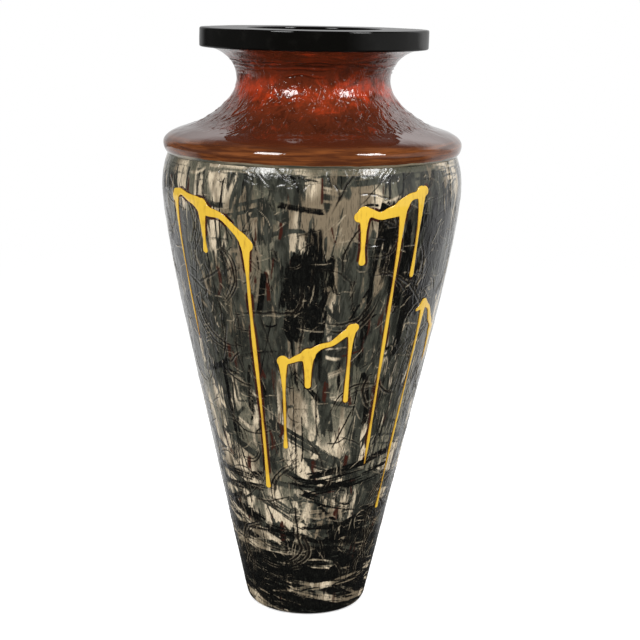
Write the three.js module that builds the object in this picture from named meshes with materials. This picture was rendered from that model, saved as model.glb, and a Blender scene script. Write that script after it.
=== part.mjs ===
// Floor vase of stoneware, 900 mm tall, built as such a vase is built: eight thrown sections,
// stacked on lap joints. Millimetres, +Z up. The origin is the middle of the foot, on the floor.
import * as THREE from 'three';

// Heights of the stages of the outside, from the floor up
const coneHeight = 400;
const swellHeight = 268;
const bellyTopHeight = 46;
const rollHeight = 43;
const neckFootHeight = 67;
const neckFlareHeight = 47;
const rimThickness = 29;

// Radii of the outside, and how far one stage stands out from the next
const footRadius = 93;
const bellyRadius = 228;
const grooveDepth = 8.5;
const rollBulge = 7;
const shoulderWidth = 48.5;
const waistRadius = 117;
const neckTopRadius = 168;
const rimOverhang = 4;
const mouthRadius = 100;

// How much the cone's radius grows for each millimetre of height
const coneTaper = 0.221;

// Walls, edges and the foot
const wall = 13;
const footEdge = 11;
const rimEdge = 3;
const floorThickness = 16;
const footRecess = 6;
const footRingWidth = 16;

// Joints between the sections: where they are cut, how far a tongue reaches, and its slip
const slabHeight = 26;
const footWallTop = 190;
const lowerWallTop = 365;
const middleWallTop = 540;
const tongueHeight = 10;
const slip = 0.3;
const neckSeatDepth = 5;
const neckSeatWidth = 18;
const neckSpigotHeight = 12;
const rimSeatWidth = 10;
const rimTongueWidth = 8;

// Facets round the axis, and along each curve of an outline
const turnSteps = 48;
const curveSteps = 6;
const tightCurveSteps = 4;

// Radii and levels worked out from the stages
const grooveRadius = bellyRadius - grooveDepth;
const rollRadius = grooveRadius + rollBulge;
const creaseRadius = rollRadius - shoulderWidth;
const rimRadius = neckTopRadius + rimOverhang;
const bellyLevel = coneHeight + swellHeight;
const grooveLevel = bellyLevel + bellyTopHeight;
const creaseLevel = grooveLevel + rollHeight;
const waistLevel = creaseLevel + neckFootHeight;
const rimLevel = waistLevel + neckFlareHeight;
const vaseHeight = rimLevel + rimThickness;

// The roll is fullest this far up its height
const rollFullest = grooveLevel + rollHeight * 0.37;

const glazes = {
  foot: { color: 0x4a4232, roughness: 0.3 },
  body: { color: 0x84714b, roughness: 0.2 },
  roll: { color: 0x5b3a22, roughness: 0.15 },
  neck: { color: 0x7d2415, roughness: 0.15 },
  rim: { color: 0x0c0b0b, roughness: 0.1 },
};

// The radius of an outline at a height, on the straight between its two nearest points
function radiusAt(outline, height) {
  const next = outline.findIndex((point) => point.y >= height);
  if (next <= 0) {
    return outline[next === 0 ? 0 : outline.length - 1].x;
  }
  const below = outline[next - 1];
  const above = outline[next];
  const share = (height - below.y) / (above.y - below.y);
  return below.x + (above.x - below.x) * share;
}

// The stretch of an outline between two heights, with its ends cut exactly there
function stretch(outline, from, to) {
  const inside = outline.filter((point) => point.y > from && point.y < to);
  return [
    [radiusAt(outline, from), from],
    ...inside.map((point) => [point.x, point.y]),
    [radiusAt(outline, to), to],
  ];
}

// Outside of the body: rounded foot edge, straight cone, long swell, belly and groove
function bodyOutline() {
  const coneTop = footRadius + coneTaper * coneHeight;
  const lift = swellHeight * 0.63;
  const path = new THREE.Path();
  path.moveTo(footRadius - footEdge, 0);
  path.quadraticCurveTo(footRadius, 0, footRadius + coneTaper * footEdge, footEdge);
  path.lineTo(coneTop, coneHeight);
  path.bezierCurveTo(
    coneTop + coneTaper * lift, coneHeight + lift,
    bellyRadius, bellyLevel - swellHeight * 0.11,
    bellyRadius, bellyLevel,
  );
  path.quadraticCurveTo(bellyRadius, bellyLevel + bellyTopHeight * 0.53, grooveRadius, grooveLevel);
  return path.getPoints(curveSteps);
}

// Outside of the roll: out of the groove, round its fullest line and in to the crease
function rollOutline() {
  const path = new THREE.Path();
  path.moveTo(grooveRadius, grooveLevel);
  path.quadraticCurveTo(rollRadius, grooveLevel + rollHeight * 0.14, rollRadius, rollFullest);
  path.bezierCurveTo(
    rollRadius, grooveLevel + rollHeight * 0.63,
    creaseRadius + (rollRadius - creaseRadius) * 0.7, creaseLevel - rollHeight * 0.21,
    creaseRadius, creaseLevel,
  );
  return path.getPoints(curveSteps);
}

// Outside of the neck: concave foot up to the waist, then a quarter ellipse under the rim
function neckOutline(bottomRadius, bottomLevel, narrowest, topRadius, topLevel, steps) {
  const path = new THREE.Path();
  path.moveTo(bottomRadius, bottomLevel);
  path.quadraticCurveTo(narrowest, (bottomLevel + waistLevel) / 2, narrowest, waistLevel);
  path.absellipse(
    topRadius, waistLevel, topRadius - narrowest, topLevel - waistLevel, Math.PI, Math.PI / 2, true,
  );
  return path.getPoints(steps).map((point) => [point.x, point.y]);
}

// The tongue on top of a section: half of the wall, upright, inside the seat it leaves
function tongue(outline, level) {
  const outer = radiusAt(outline, level);
  return [
    [outer - wall / 2, level],
    [outer - wall / 2, level + tongueHeight],
    [outer - wall, level + tongueHeight],
  ];
}

// The rebate at the bottom of the next section, which slips over that tongue
function rebate(outline, level) {
  const upright = radiusAt(outline, level) - wall / 2 + slip;
  return [
    [upright, level + tongueHeight + slip],
    [upright, level],
  ];
}

// The inside of a stretch of wall, listed downwards
function inward(points) {
  return points.map(([radius, level]) => [radius - wall, level]).reverse();
}

// A turned section from its closed profile, listed upwards on the outside
function section(name, profile, glaze) {
  const points = profile.map(([radius, level]) => new THREE.Vector2(radius, level));
  if (points[0].x > 0) {
    points.push(points[0].clone());
  }
  const geometry = new THREE.LatheGeometry(points, turnSteps);
  geometry.rotateX(Math.PI / 2);
  const material = new THREE.MeshStandardMaterial({ ...glaze, metalness: 0 });
  const mesh = new THREE.Mesh(geometry, material);
  mesh.name = name;
  return mesh;
}

// Floor of the vase, with the foot ring that it stands on turned under it
function baseSlab(outline) {
  const ringInside = footRadius - footEdge - footRingWidth;
  const floorLevel = footRecess + floorThickness;
  const inside = radiusAt(outline, slabHeight) - wall;
  return section('base_slab', [
    [0, footRecess],
    [ringInside - footRecess / 2, footRecess],
    [ringInside, 0],
    ...stretch(outline, 0, slabHeight),
    ...tongue(outline, slabHeight),
    [inside, floorLevel],
    [0, floorLevel],
  ], glazes.foot);
}

// One ring of the body's wall between two joints
function wallSection(name, outline, from, to) {
  return section(name, [
    ...stretch(outline, from, to),
    ...tongue(outline, to),
    ...inward(stretch(outline, from + tongueHeight + slip, to)),
    ...rebate(outline, from),
  ], glazes.body);
}

// The roll on the shoulder, which carries the neck on a seat turned into its inner edge
function shoulderRing(body) {
  const outer = rollOutline().map((point) => [point.x, point.y]);
  const seatLevel = creaseLevel - neckSeatDepth;
  const seatInside = creaseRadius - neckSeatWidth;
  const underside = seatLevel - wall + neckSeatDepth / 2;
  const tongueTop = grooveLevel + tongueHeight + slip;
  const inside = grooveRadius - wall;
  const hollow = new THREE.Path();
  hollow.moveTo(seatInside, underside);
  hollow.quadraticCurveTo(inside, underside, inside, tongueTop);
  return section('shoulder_ring', [
    ...outer,
    [creaseRadius, seatLevel],
    [seatInside, seatLevel],
    ...hollow.getPoints(tightCurveSteps).map((point) => [point.x, point.y]),
    ...rebate(body, grooveLevel),
  ], glazes.roll);
}

// The waisted neck: its spigot drops through the shoulder ring, its tongue rises into the rim
function neck() {
  const seatLevel = creaseLevel - neckSeatDepth;
  const spigotRadius = creaseRadius - neckSeatWidth - slip;
  const spigotBottom = seatLevel - neckSpigotHeight;
  const tongueRadius = neckTopRadius - rimSeatWidth;
  const tongueTop = rimLevel + tongueHeight;
  const outer = neckOutline(
    creaseRadius - slip, creaseLevel, waistRadius, neckTopRadius, rimLevel, curveSteps,
  );
  const inner = neckOutline(
    spigotRadius - wall, spigotBottom, waistRadius - wall,
    tongueRadius - rimTongueWidth, tongueTop, tightCurveSteps,
  );
  return section('neck', [
    [spigotRadius - wall, spigotBottom],
    [spigotRadius, spigotBottom],
    [spigotRadius, seatLevel],
    [creaseRadius - slip, seatLevel],
    ...outer,
    [tongueRadius, rimLevel],
    [tongueRadius, tongueTop],
    ...inner.slice(1).reverse(),
  ], glazes.neck);
}

// The thick flat rim: its underside is cut away inside the neck's tongue
function rim() {
  const seatRadius = neckTopRadius - rimSeatWidth + slip;
  const underside = rimLevel + tongueHeight + slip;
  const path = new THREE.Path();
  path.moveTo(mouthRadius, underside);
  path.lineTo(seatRadius, underside);
  path.lineTo(seatRadius, rimLevel);
  path.lineTo(rimRadius - rimEdge, rimLevel);
  path.quadraticCurveTo(rimRadius, rimLevel, rimRadius, rimLevel + rimEdge);
  path.lineTo(rimRadius, vaseHeight - rimEdge);
  path.quadraticCurveTo(rimRadius, vaseHeight, rimRadius - rimEdge, vaseHeight);
  path.lineTo(mouthRadius + rimEdge, vaseHeight);
  path.quadraticCurveTo(mouthRadius, vaseHeight, mouthRadius, vaseHeight - rimEdge);
  return section('rim', path.getPoints(tightCurveSteps).map((point) => [point.x, point.y]), glazes.rim);
}

const vase = new THREE.Group();
const body = bodyOutline();
vase.add(
  baseSlab(body),
  wallSection('foot_wall', body, slabHeight, footWallTop),
  wallSection('lower_wall', body, footWallTop, lowerWallTop),
  wallSection('middle_wall', body, lowerWallTop, middleWallTop),
  wallSection('belly_wall', body, middleWallTop, grooveLevel),
  shoulderRing(body),
  neck(),
  rim(),
);

export default vase;
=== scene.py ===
"""Tall stoneware floor vase: painted body, brown roll, red neck, black rim and yellow glaze runs.

Metres throughout, +Z up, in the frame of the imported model. The front faces -Y.
"""

import logging
import math
from dataclasses import dataclass, field
from enum import Enum
from functools import cached_property

import bpy
import numpy as np
from mathutils import Matrix, Vector


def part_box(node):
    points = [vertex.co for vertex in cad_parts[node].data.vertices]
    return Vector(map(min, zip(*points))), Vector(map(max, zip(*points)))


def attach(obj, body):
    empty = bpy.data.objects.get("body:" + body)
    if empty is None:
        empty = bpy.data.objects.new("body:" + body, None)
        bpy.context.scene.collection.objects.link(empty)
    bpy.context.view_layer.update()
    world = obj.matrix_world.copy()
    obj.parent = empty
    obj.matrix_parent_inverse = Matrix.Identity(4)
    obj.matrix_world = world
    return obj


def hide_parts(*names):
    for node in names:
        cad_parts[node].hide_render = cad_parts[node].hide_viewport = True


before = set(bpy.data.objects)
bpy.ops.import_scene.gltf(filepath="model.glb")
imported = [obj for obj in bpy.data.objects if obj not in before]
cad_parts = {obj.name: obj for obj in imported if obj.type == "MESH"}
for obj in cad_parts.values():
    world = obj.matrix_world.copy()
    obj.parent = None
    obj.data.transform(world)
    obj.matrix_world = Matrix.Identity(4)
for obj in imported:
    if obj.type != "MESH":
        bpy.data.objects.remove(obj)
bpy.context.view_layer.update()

LOG = logging.getLogger("vase")
MM = 0.001
FULL_TURN = 2 * math.pi
LEVEL = math.radians(90)
SEED = 20260411
GLAZE = 1.3 * MM

Pair = tuple[float, float]
Color = tuple[float, float, float]
Socket = bpy.types.NodeSocket


class Layer(Enum):
    """The coats of paint and the marks that the body's outside carries."""

    WASH = "wash"
    CHARCOAL = "charcoal"
    BLACK = "black"
    BROWN = "brown"
    LINE = "line"
    # Pale scratches, together with the painted highlights along the lips of dark lines.
    SCRATCH_AND_LIP_HIGHLIGHT = "scratch_and_lip_highlight"
    TONE = "tone"
    RELIEF = "relief"


def bezier(points: list[Pair], steps: int) -> np.ndarray:
    """A quadratic or cubic curve.

    Args:
        points: three or four control points, as (radius, height).
        steps: how many straights it is divided into.

    Returns:
        The curve's points, one row each.
    """
    t = np.linspace(0, 1, steps + 1)[:, None]
    degree = len(points) - 1
    return sum(
        math.comb(degree, i) * (1 - t) ** (degree - i) * t**i * np.array(point)
        for i, point in enumerate(points)
    )


def flare(narrow: float, wide: float, low: float, high: float, steps: int) -> np.ndarray:
    """A quarter ellipse that opens from a waist to a rim.

    Args:
        narrow: radius at the waist.
        wide: radius at the rim.
        low: height of the waist.
        high: height of the rim.
        steps: how many points it has past the waist.

    Returns:
        Those points, as (radius, height) rows.
    """
    turn = np.linspace(0, math.pi / 2, steps + 1)[1:, None]
    return np.hstack([wide - (wide - narrow) * np.cos(turn), low + (high - low) * np.sin(turn)])


def smooth_step(low: float, high: float, value: np.ndarray) -> np.ndarray:
    """0 below low, 1 above high, with a soft rise between them."""
    t = np.clip((value - low) / (high - low), 0, 1)
    return t * t * (3 - 2 * t)


def lengths(outline: np.ndarray) -> np.ndarray:
    """Distance along an outline from its first point to each of its points."""
    return np.concatenate([[0], np.cumsum(np.hypot(*np.diff(outline, axis=0).T))])


def resample(outline: np.ndarray, spacing: float) -> np.ndarray:
    """The same outline with points an even distance apart.

    Args:
        outline: (radius, height) rows.
        spacing: about how far apart the new points are.

    Returns:
        The new rows.
    """
    run = lengths(outline)
    count = max(int(round(run[-1] / spacing)), 1)
    places = np.linspace(0, run[-1], count + 1)
    return np.column_stack([np.interp(places, run, column) for column in outline.T])


def polar(points: np.ndarray) -> tuple[np.ndarray, np.ndarray, np.ndarray]:
    """Radius, angle and height of each point."""
    return np.hypot(points[:, 0], points[:, 1]), np.arctan2(points[:, 1], points[:, 0]), points[:, 2]


def leaned(across: np.ndarray, along: np.ndarray, lean: float) -> tuple[np.ndarray, np.ndarray]:
    """Distances across and along a stroke that leans, from upright ones."""
    side, up = math.cos(lean), math.sin(lean)
    return across * side + along * up, along * side - across * up


@dataclass(frozen=True)
class VaseForm:
    """Outlines of the vase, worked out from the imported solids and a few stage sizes."""

    foot_radius: float = 93 * MM
    foot_edge: float = 11 * MM
    cone_taper: float = 0.221
    cone_height: float = 400 * MM
    belly_level: float = 668 * MM
    roll_bulge: float = 7 * MM
    shoulder_width: float = 48.5 * MM
    waist_radius: float = 117 * MM
    waist_level: float = 824 * MM
    rim_overhang: float = 4 * MM
    wall: float = 13 * MM
    tongue: float = 10 * MM
    slip: float = 0.3 * MM
    seat_depth: float = 5 * MM
    seat_width: float = 18 * MM
    rim_seat_width: float = 10 * MM
    swell_lift: float = 0.63
    swell_draw: float = 0.11
    belly_turn: float = 0.53
    roll_turn: float = 0.14
    roll_fullest: float = 0.37
    roll_lift: float = 0.63
    roll_reach: float = 0.7
    roll_drop: float = 0.21
    finest: float = 0.5 * MM
    ease: int = 14

    @cached_property
    def belly_radius(self) -> float:
        """The widest radius of the body."""
        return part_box("belly_wall")[1].x

    @cached_property
    def roll_radius(self) -> float:
        """The widest radius of the roll."""
        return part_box("shoulder_ring")[1].x

    @cached_property
    def groove_level(self) -> float:
        """Height of the groove under the roll."""
        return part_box("shoulder_ring")[0].z

    @cached_property
    def crease_level(self) -> float:
        """Height of the crease between roll and neck."""
        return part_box("shoulder_ring")[1].z

    @cached_property
    def rim_level(self) -> float:
        """Height of the underside of the rim."""
        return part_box("rim")[0].z

    @cached_property
    def body(self) -> np.ndarray:
        """Outside of the body from the floor to the groove.

        Returns:
            (radius, height) rows.
        """
        cone_top = self.foot_radius + self.cone_taper * self.cone_height
        swell = self.belly_level - self.cone_height
        lift = swell * self.swell_lift
        groove = self.roll_radius - self.roll_bulge
        top = self.groove_level - self.belly_level
        edge = [
            (self.foot_radius - self.foot_edge, 0),
            (self.foot_radius, 0),
            (self.foot_radius + self.cone_taper * self.foot_edge, self.foot_edge),
        ]
        swelling = [
            (cone_top, self.cone_height),
            (cone_top + self.cone_taper * lift, self.cone_height + lift),
            (self.belly_radius, self.belly_level - swell * self.swell_draw),
            (self.belly_radius, self.belly_level),
        ]
        closing = [
            (self.belly_radius, self.belly_level),
            (self.belly_radius, self.belly_level + top * self.belly_turn),
            (groove, self.groove_level),
        ]
        return np.vstack([bezier(edge, 24), bezier(swelling, 200), bezier(closing, 60)[1:]])

    @cached_property
    def upper(self) -> tuple[np.ndarray, np.ndarray]:
        """Outsides of roll and neck, with the crease between them eased.

        Returns:
            The (radius, height) rows of the roll and those of the neck.
        """
        height = self.crease_level - self.groove_level
        fullest = self.groove_level + height * self.roll_fullest
        crease = self.roll_radius - self.shoulder_width
        top_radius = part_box("rim")[1].x - self.rim_overhang
        middle = (self.crease_level + self.waist_level) / 2
        under = [
            (self.roll_radius - self.roll_bulge, self.groove_level),
            (self.roll_radius, self.groove_level + height * self.roll_turn),
            (self.roll_radius, fullest),
        ]
        over = [
            (self.roll_radius, fullest),
            (self.roll_radius, self.groove_level + height * self.roll_lift),
            (crease + self.shoulder_width * self.roll_reach, self.crease_level - height * self.roll_drop),
            (crease, self.crease_level),
        ]
        foot = [
            (crease, self.crease_level),
            (self.waist_radius, middle),
            (self.waist_radius, self.waist_level),
        ]
        collar = flare(self.waist_radius, top_radius, self.waist_level, self.rim_level, 79)
        roll = resample(np.vstack([bezier(under, 40), bezier(over, 100)[1:]]), self.finest)
        neck = resample(np.vstack([bezier(foot, 100), collar]), self.finest)
        whole = np.vstack([roll, neck[1:]])
        reach = np.arange(-self.ease * 3, self.ease * 3 + 1)
        weight = np.exp(-((reach / self.ease) ** 2) / 2)
        eased = sum(w * np.roll(whole, -r, axis=0) for w, r in zip(weight, reach)) / weight.sum()
        near = np.exp(-(((np.arange(len(whole)) - len(roll) + 1) / (self.ease * 2.5)) ** 4))[:, None]
        whole = whole + (eased - whole) * near
        return whole[:len(roll)], whole[len(roll) - 1:]

    def climb(self, radius: np.ndarray, height: np.ndarray) -> np.ndarray:
        """How far up the outside places on the roll or the neck are.

        Args:
            radius: their radii.
            height: their heights.

        Returns:
            Their distances along the outline from the groove.
        """
        whole = np.vstack([self.upper[0], self.upper[1][1:]])
        first = int(np.argmax(whole[:, 0]))

        def rise(r: np.ndarray, z: np.ndarray) -> np.ndarray:
            """A measure that only grows on the way up."""
            return np.where(z < self.waist_level, z - np.maximum(r, self.waist_radius), z - self.waist_radius)

        return np.interp(rise(radius, height), rise(*whole[first:].T), lengths(whole)[first:])

    def radius_at(self, heights: np.ndarray) -> np.ndarray:
        """Radius of the body's outside at each height."""
        return np.interp(heights, self.body[:, 1], self.body[:, 0])


class Grain:
    """Smooth random values on a plane, which repeat after a whole number of cells."""

    def __init__(self, rng: np.random.Generator, size: int = 256) -> None:
        """Fills the table of values."""
        self.size = size
        self.table = rng.random((size, size))

    def __call__(self, across: np.ndarray, along: np.ndarray, period: int = 0) -> np.ndarray:
        """Value from 0 to 1 at each place, in cells.

        Args:
            across: cell coordinate across.
            along: cell coordinate along.
            period: number of cells after which the values repeat across, or 0 for the table's own size.

        Returns:
            The smoothed values.
        """
        period = period or self.size
        i, j = np.floor(across).astype(int), np.floor(along).astype(int)
        s, t = across - i, along - j
        s, t = s * s * (3 - 2 * s), t * t * (3 - 2 * t)
        i0, i1 = i % period, (i + 1) % period
        j0, j1 = j % self.size, (j + 1) % self.size
        low = self.table[i0, j0] * (1 - s) + self.table[i1, j0] * s
        high = self.table[i0, j1] * (1 - s) + self.table[i1, j1] * s
        return low * (1 - t) + high * t


class Canvas:
    """The outside of the body unrolled into rows of height and columns round the axis."""

    STEP = 0.9 * MM
    BRISTLES = ((0.55, 1.3 * MM, 34 * MM), (0.45, 4.2 * MM, 50 * MM))
    BRISTLE_RELIEF = 0.12 * MM
    SOFT_SIDE = 1.5 * MM
    SOFT_END = 4 * MM
    LIP = 0.45

    def __init__(self, form: VaseForm, rng: np.random.Generator) -> None:
        """Lays out the rows and columns and the empty layers.

        Args:
            form: the outlines.
            rng: source of every random value.
        """
        self.rng = rng
        self.grain = Grain(rng)
        self.rows = int(form.crease_level / self.STEP)
        self.columns = int(FULL_TURN * form.belly_radius / self.STEP)
        self.heights = (np.arange(self.rows) + 0.5) * self.STEP
        self.angles = (np.arange(self.columns) + 0.5) / self.columns * FULL_TURN
        self.radii = form.radius_at(self.heights)
        self.layers = {layer: np.zeros((self.rows, self.columns), np.float32) for layer in Layer}

    def window(self, angle: float, height: float, wide: float, tall: float) -> tuple:
        """The part of the canvas round a place.

        Args:
            angle: place round the axis, in radians.
            height: place above the floor.
            wide: how far the part reaches to either side.
            tall: how far it reaches up and down.

        Returns:
            Row and column indices, and the distances across and along from the place.
        """
        row = int(height / self.STEP)
        half_rows = int(tall / self.STEP) + 1
        rows = np.arange(max(row - half_rows, 0), min(row + half_rows, self.rows))
        narrow = float(self.radii[rows].min())
        half_columns = int(min(wide / narrow, math.pi * 0.95) / FULL_TURN * self.columns) + 1
        columns = np.arange(-half_columns, half_columns + 1) + int(angle / FULL_TURN * self.columns)
        turn = (columns + 0.5) / self.columns * FULL_TURN - angle
        across = turn[None, :] * self.radii[rows][:, None]
        along = np.broadcast_to((self.heights[rows] - height)[:, None], across.shape)
        return np.ix_(rows, columns % self.columns), across, along

    def leaning(self, angle: float, height: float, length: float, width: float, lean: float,
                bend: float) -> tuple:
        """The part of the canvas that a leaning stroke needs.

        Args:
            angle: middle of the stroke round the axis.
            height: middle of the stroke above the floor.
            length: its length.
            width: its width.
            lean: its turn away from upright, in radians.
            bend: how far its ends stand off the straight.

        Returns:
            Row and column indices, and the distances across and along the stroke.
        """
        half = length / 2
        side = width + abs(bend)
        wide = abs(math.sin(lean)) * half + abs(math.cos(lean)) * side + side / 2
        tall = abs(math.cos(lean)) * half + abs(math.sin(lean)) * side + side / 2
        place, across, along = self.window(angle, height, wide, tall)
        u, v = leaned(across, along, lean)
        return place, u - bend * (2 * v / length) ** 2, v

    def lay(self, layer: Layer, place: tuple, value: np.ndarray) -> None:
        """Keeps the stronger of what is there and the new value."""
        coat = self.layers[layer]
        coat[place] = np.maximum(coat[place], value)

    def brush(self, layer: Layer | None, angle: float, height: float, length: float, width: float,
              lean: float = 0.0, bend: float = 0.0, dryness: float = 0.5, strength: float = 1.0) -> None:
        """One stroke of a flat brush, with streaks along it and ragged ends.

        Args:
            layer: the coat that it goes to, or None to wipe the dark coats off.
            angle: middle of the stroke round the axis.
            height: middle of the stroke above the floor.
            length: its length.
            width: its width.
            lean: its turn away from upright, in radians.
            bend: how far its ends stand off the straight.
            dryness: 0 for a full brush, 1 for one that leaves streaks only.
            strength: the most that it covers.
        """
        place, u, v = self.leaning(angle, height, length, width, lean, bend)
        offset = self.rng.random(2) * 200
        streak = sum(
            share * self.grain(u / wide + first, v / tall + second)
            for (share, wide, tall), (first, second) in zip(self.BRISTLES, (offset, offset[::-1]))
        )
        ragged = self.grain(u / (3.2 * MM) + offset[1], np.full_like(u, offset[0]))
        sway = (self.grain(np.full_like(v, offset[0]), v / (24 * MM) + offset[1]) - 0.5) * width * 0.3
        end = length / 2 * (1 - 0.55 * dryness * ragged)
        inside = smooth_step(-self.SOFT_SIDE, self.SOFT_SIDE, width / 2 - np.abs(u + sway))
        ends = smooth_step(-self.SOFT_END, self.SOFT_END, end - np.abs(v))
        cover = 1 - dryness * smooth_step(0.36, 0.66, streak)
        value = inside * ends * cover
        self.layers[Layer.RELIEF][place] += self.BRISTLE_RELIEF * value * (0.6 - streak)
        if layer:
            self.lay(layer, place, strength * value)
            return
        for dark in (Layer.WASH, Layer.CHARCOAL, Layer.BLACK):
            self.layers[dark][place] *= 1 - strength * value

    def scribe(self, layer: Layer, angle: float, height: float, length: float, width: float,
               lean: float, bend: float, depth: float, strength: float = 1.0) -> None:
        """One thin curved line, cut into the surface or standing on it; a dark line also gets a painted
        highlight along its raised lips.

        Args:
            layer: the coat that shows it.
            angle: middle of the line round the axis.
            height: middle of the line above the floor.
            length: its length.
            width: its width.
            lean: its turn away from upright.
            bend: how far its ends stand off the straight.
            depth: how deep it is cut, negative where it stands up.
            strength: the most that it covers.
        """
        place, u, v = self.leaning(angle, height, length, 3 * width + 3 * MM, lean, bend)
        offset = self.rng.random(2) * 200
        wander = (self.grain(np.full_like(v, offset[0]), v / (14 * MM) + offset[1]) - 0.5) * 3 * MM
        u = u + wander
        taper = np.clip(1.15 - np.abs(2 * v / length) ** 3, 0, 1) * (np.abs(v) < length / 2)
        body = np.exp(-((u / (width / 2)) ** 2)) * taper
        lips = np.exp(-(((np.abs(u) - width) / (width / 2)) ** 2)) * taper
        self.lay(layer, place, strength * body)
        # The raised lips of a dark line get pale paint: a painted highlight on its edges.
        if layer is Layer.LINE:
            self.lay(Layer.SCRATCH_AND_LIP_HIGHLIGHT, place, 0.5 * strength * lips)
        self.layers[Layer.RELIEF][place] += -depth * body + self.LIP * depth * lips

    def trace(self, layer: Layer, path: np.ndarray, grow: float) -> None:
        """Covers a band along a path.

        Args:
            layer: the coat that it goes to.
            path: rows of (angle, height, half width).
            grow: how much wider the band is to either side than the path says.
        """
        for (angle, height, half), (angle2, height2, half2) in zip(path[:-1], path[1:]):
            reach = max(half, half2) + grow + 3 * MM
            middle, level = (angle + angle2) / 2, (height + height2) / 2
            radius = float(np.interp(level, self.heights, self.radii))
            wide = abs(angle2 - angle) / 2 * radius + reach
            place, across, along = self.window(middle, level, wide, abs(height2 - height) / 2 + reach)
            du, dv = (angle2 - angle) * radius, height2 - height
            share = ((across + du / 2) * du + (along + dv / 2) * dv) / max(du * du + dv * dv, 1e-12)
            share = np.clip(share, 0, 1)
            away = np.hypot(across + du / 2 - share * du, along + dv / 2 - share * dv)
            edge = half + (half2 - half) * share + grow
            self.lay(layer, place, smooth_step(-1.6 * MM, 1.6 * MM, edge - away))

    def sample(self, layer: Layer, angles: np.ndarray, heights: np.ndarray) -> np.ndarray:
        """Values of a layer at places on the body, blended from the four nearest.

        Args:
            layer: the coat that is read.
            angles: places round the axis.
            heights: places above the floor.

        Returns:
            One value for each place.
        """
        column = np.mod(angles, FULL_TURN) / FULL_TURN * self.columns - 0.5
        row = np.clip(heights / self.STEP - 0.5, 0, self.rows - 1.001)
        i, j = np.floor(row).astype(int), np.floor(column).astype(int)
        s, t = row - i, column - j
        left, right = j % self.columns, (j + 1) % self.columns
        coat = self.layers[layer]
        low = coat[i, left] * (1 - t) + coat[i, right] * t
        high = coat[i + 1, left] * (1 - t) + coat[i + 1, right] * t
        return low * (1 - s) + high * s


@dataclass(frozen=True)
class Drip:
    """One run of glaze that leaves a trail: where on the trail, how far down, and half its width."""

    share: float
    length: float
    half: float = 4.3


@dataclass(frozen=True)
class Pour:
    """A trail of poured glaze between two places, in degrees and millimetres, with its drips."""

    name: str
    start: Pair
    end: Pair
    sag: float
    half: float
    drips: tuple[Drip, ...]
    seed: int
    outlined: bool = False
    ripple: float = 3.2
    fine_ripple: float = 1.4
    droop: float = 9
    knot: float = 0.32
    knot_reach: float = 0.06

    @cached_property
    def strands(self) -> list[np.ndarray]:
        """The trail and then its drips.

        Returns:
            For each, rows of (angle, height, half width) in radians and metres.
        """
        rng = np.random.default_rng(SEED + self.seed)
        share = np.linspace(0, 1, 21)
        wave = rng.uniform(0, FULL_TURN, 4)
        angles = np.radians(self.start[0] + (self.end[0] - self.start[0]) * share)
        heights = self.start[1] + (self.end[1] - self.start[1]) * share - self.sag * 4 * share * (1 - share)
        heights = heights + self.ripple * np.sin(9 * share + wave[0])
        heights = heights + self.fine_ripple * np.sin(21 * share + wave[1])
        heights = heights - self.droop * (share**8 + (1 - share) ** 8)
        halves = 0.62 + 0.22 * np.sin(math.pi * share) + 0.16 * np.sin(11 * share + wave[2])
        halves = halves + sum(
            self.knot * np.exp(-(((share - drip.share) / self.knot_reach) ** 2)) for drip in self.drips
        )
        strands = [np.column_stack([angles, heights * MM, self.half * halves * MM])]
        for drip in self.drips:
            down = np.concatenate([[0, 6, 14, 26], np.arange(50, drip.length - 12, 31), [drip.length]])
            angle = np.interp(drip.share, share, angles) + 0.006 * np.sin(down / 70 + rng.uniform(0, 6))
            top = np.interp(drip.share, share, heights)
            wide = 0.84 + 0.16 * np.sin(down / 29 + rng.uniform(0, 6)) + 0.07 * np.sin(down / 11)
            wide = wide * (1 - 0.28 * down / max(drip.length, 200)) + 1.25 * np.exp(-down / 13)
            wide[-1] = rng.choice([1.0, 0.4])
            strands.append(np.column_stack([angle, (top - down) * MM, drip.half * wide * MM]))
        return strands


POURS = (
    Pour("left_high", (-151, 668), (-114, 612), -14, 8.4, (
        Drip(0.04, 215, 3.8), Drip(0.46, 64, 5.2), Drip(0.99, 380)), 1, outlined=True),
    Pour("front_middle", (-103, 442), (-71, 497), 20, 6.6, (
        Drip(0.03, 138, 3.9), Drip(0.38, 48, 4.8), Drip(0.97, 112, 4.2)), 2),
    Pour("right_high", (-73, 656), (-45, 689), 16, 9.2, (
        Drip(0.08, 70, 5.4), Drip(0.62, 400), Drip(0.94, 120, 4.4)), 3, outlined=True),
    Pour("right_low", (-39, 512), (-19, 458), -10, 6.2, (
        Drip(0.2, 330, 3.8), Drip(0.94, 50, 4.6)), 4),
    Pour("back_right", (30, 685), (66, 640), 18, 8.4, (
        Drip(0.05, 240), Drip(0.4, 75, 5.4), Drip(0.8, 470), Drip(0.97, 130)), 5, outlined=True),
    Pour("back_middle", (72, 452), (110, 536), 20, 7, (
        Drip(0.05, 288), Drip(0.72, 96, 5)), 6),
    Pour("back_left", (117, 698), (149, 634), -8, 8.8, (
        Drip(0.34, 92, 5.2), Drip(0.52, 40, 5.6), Drip(0.98, 498)), 7, outlined=True),
    Pour("left_low", (157, 508), (174, 546), 8, 7, (
        Drip(0.06, 70, 5), Drip(0.44, 230), Drip(0.92, 360)), 8),
)


@dataclass(frozen=True)
class Strokes:
    """A kind of brush stroke: how many there are, and the ranges of their sizes in millimetres.

    Without a layer they wipe the dark coats off. Chosen ones keep to the heavy parts of the body.
    """

    layer: Layer | None
    number: int
    length: Pair
    width: Pair
    spread: float
    dryness: Pair = (0.2, 0.9)
    strength: Pair = (0.5, 1)
    turn: float = 0.0
    between: Pair = (15, 708)
    chosen: bool = False


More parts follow.
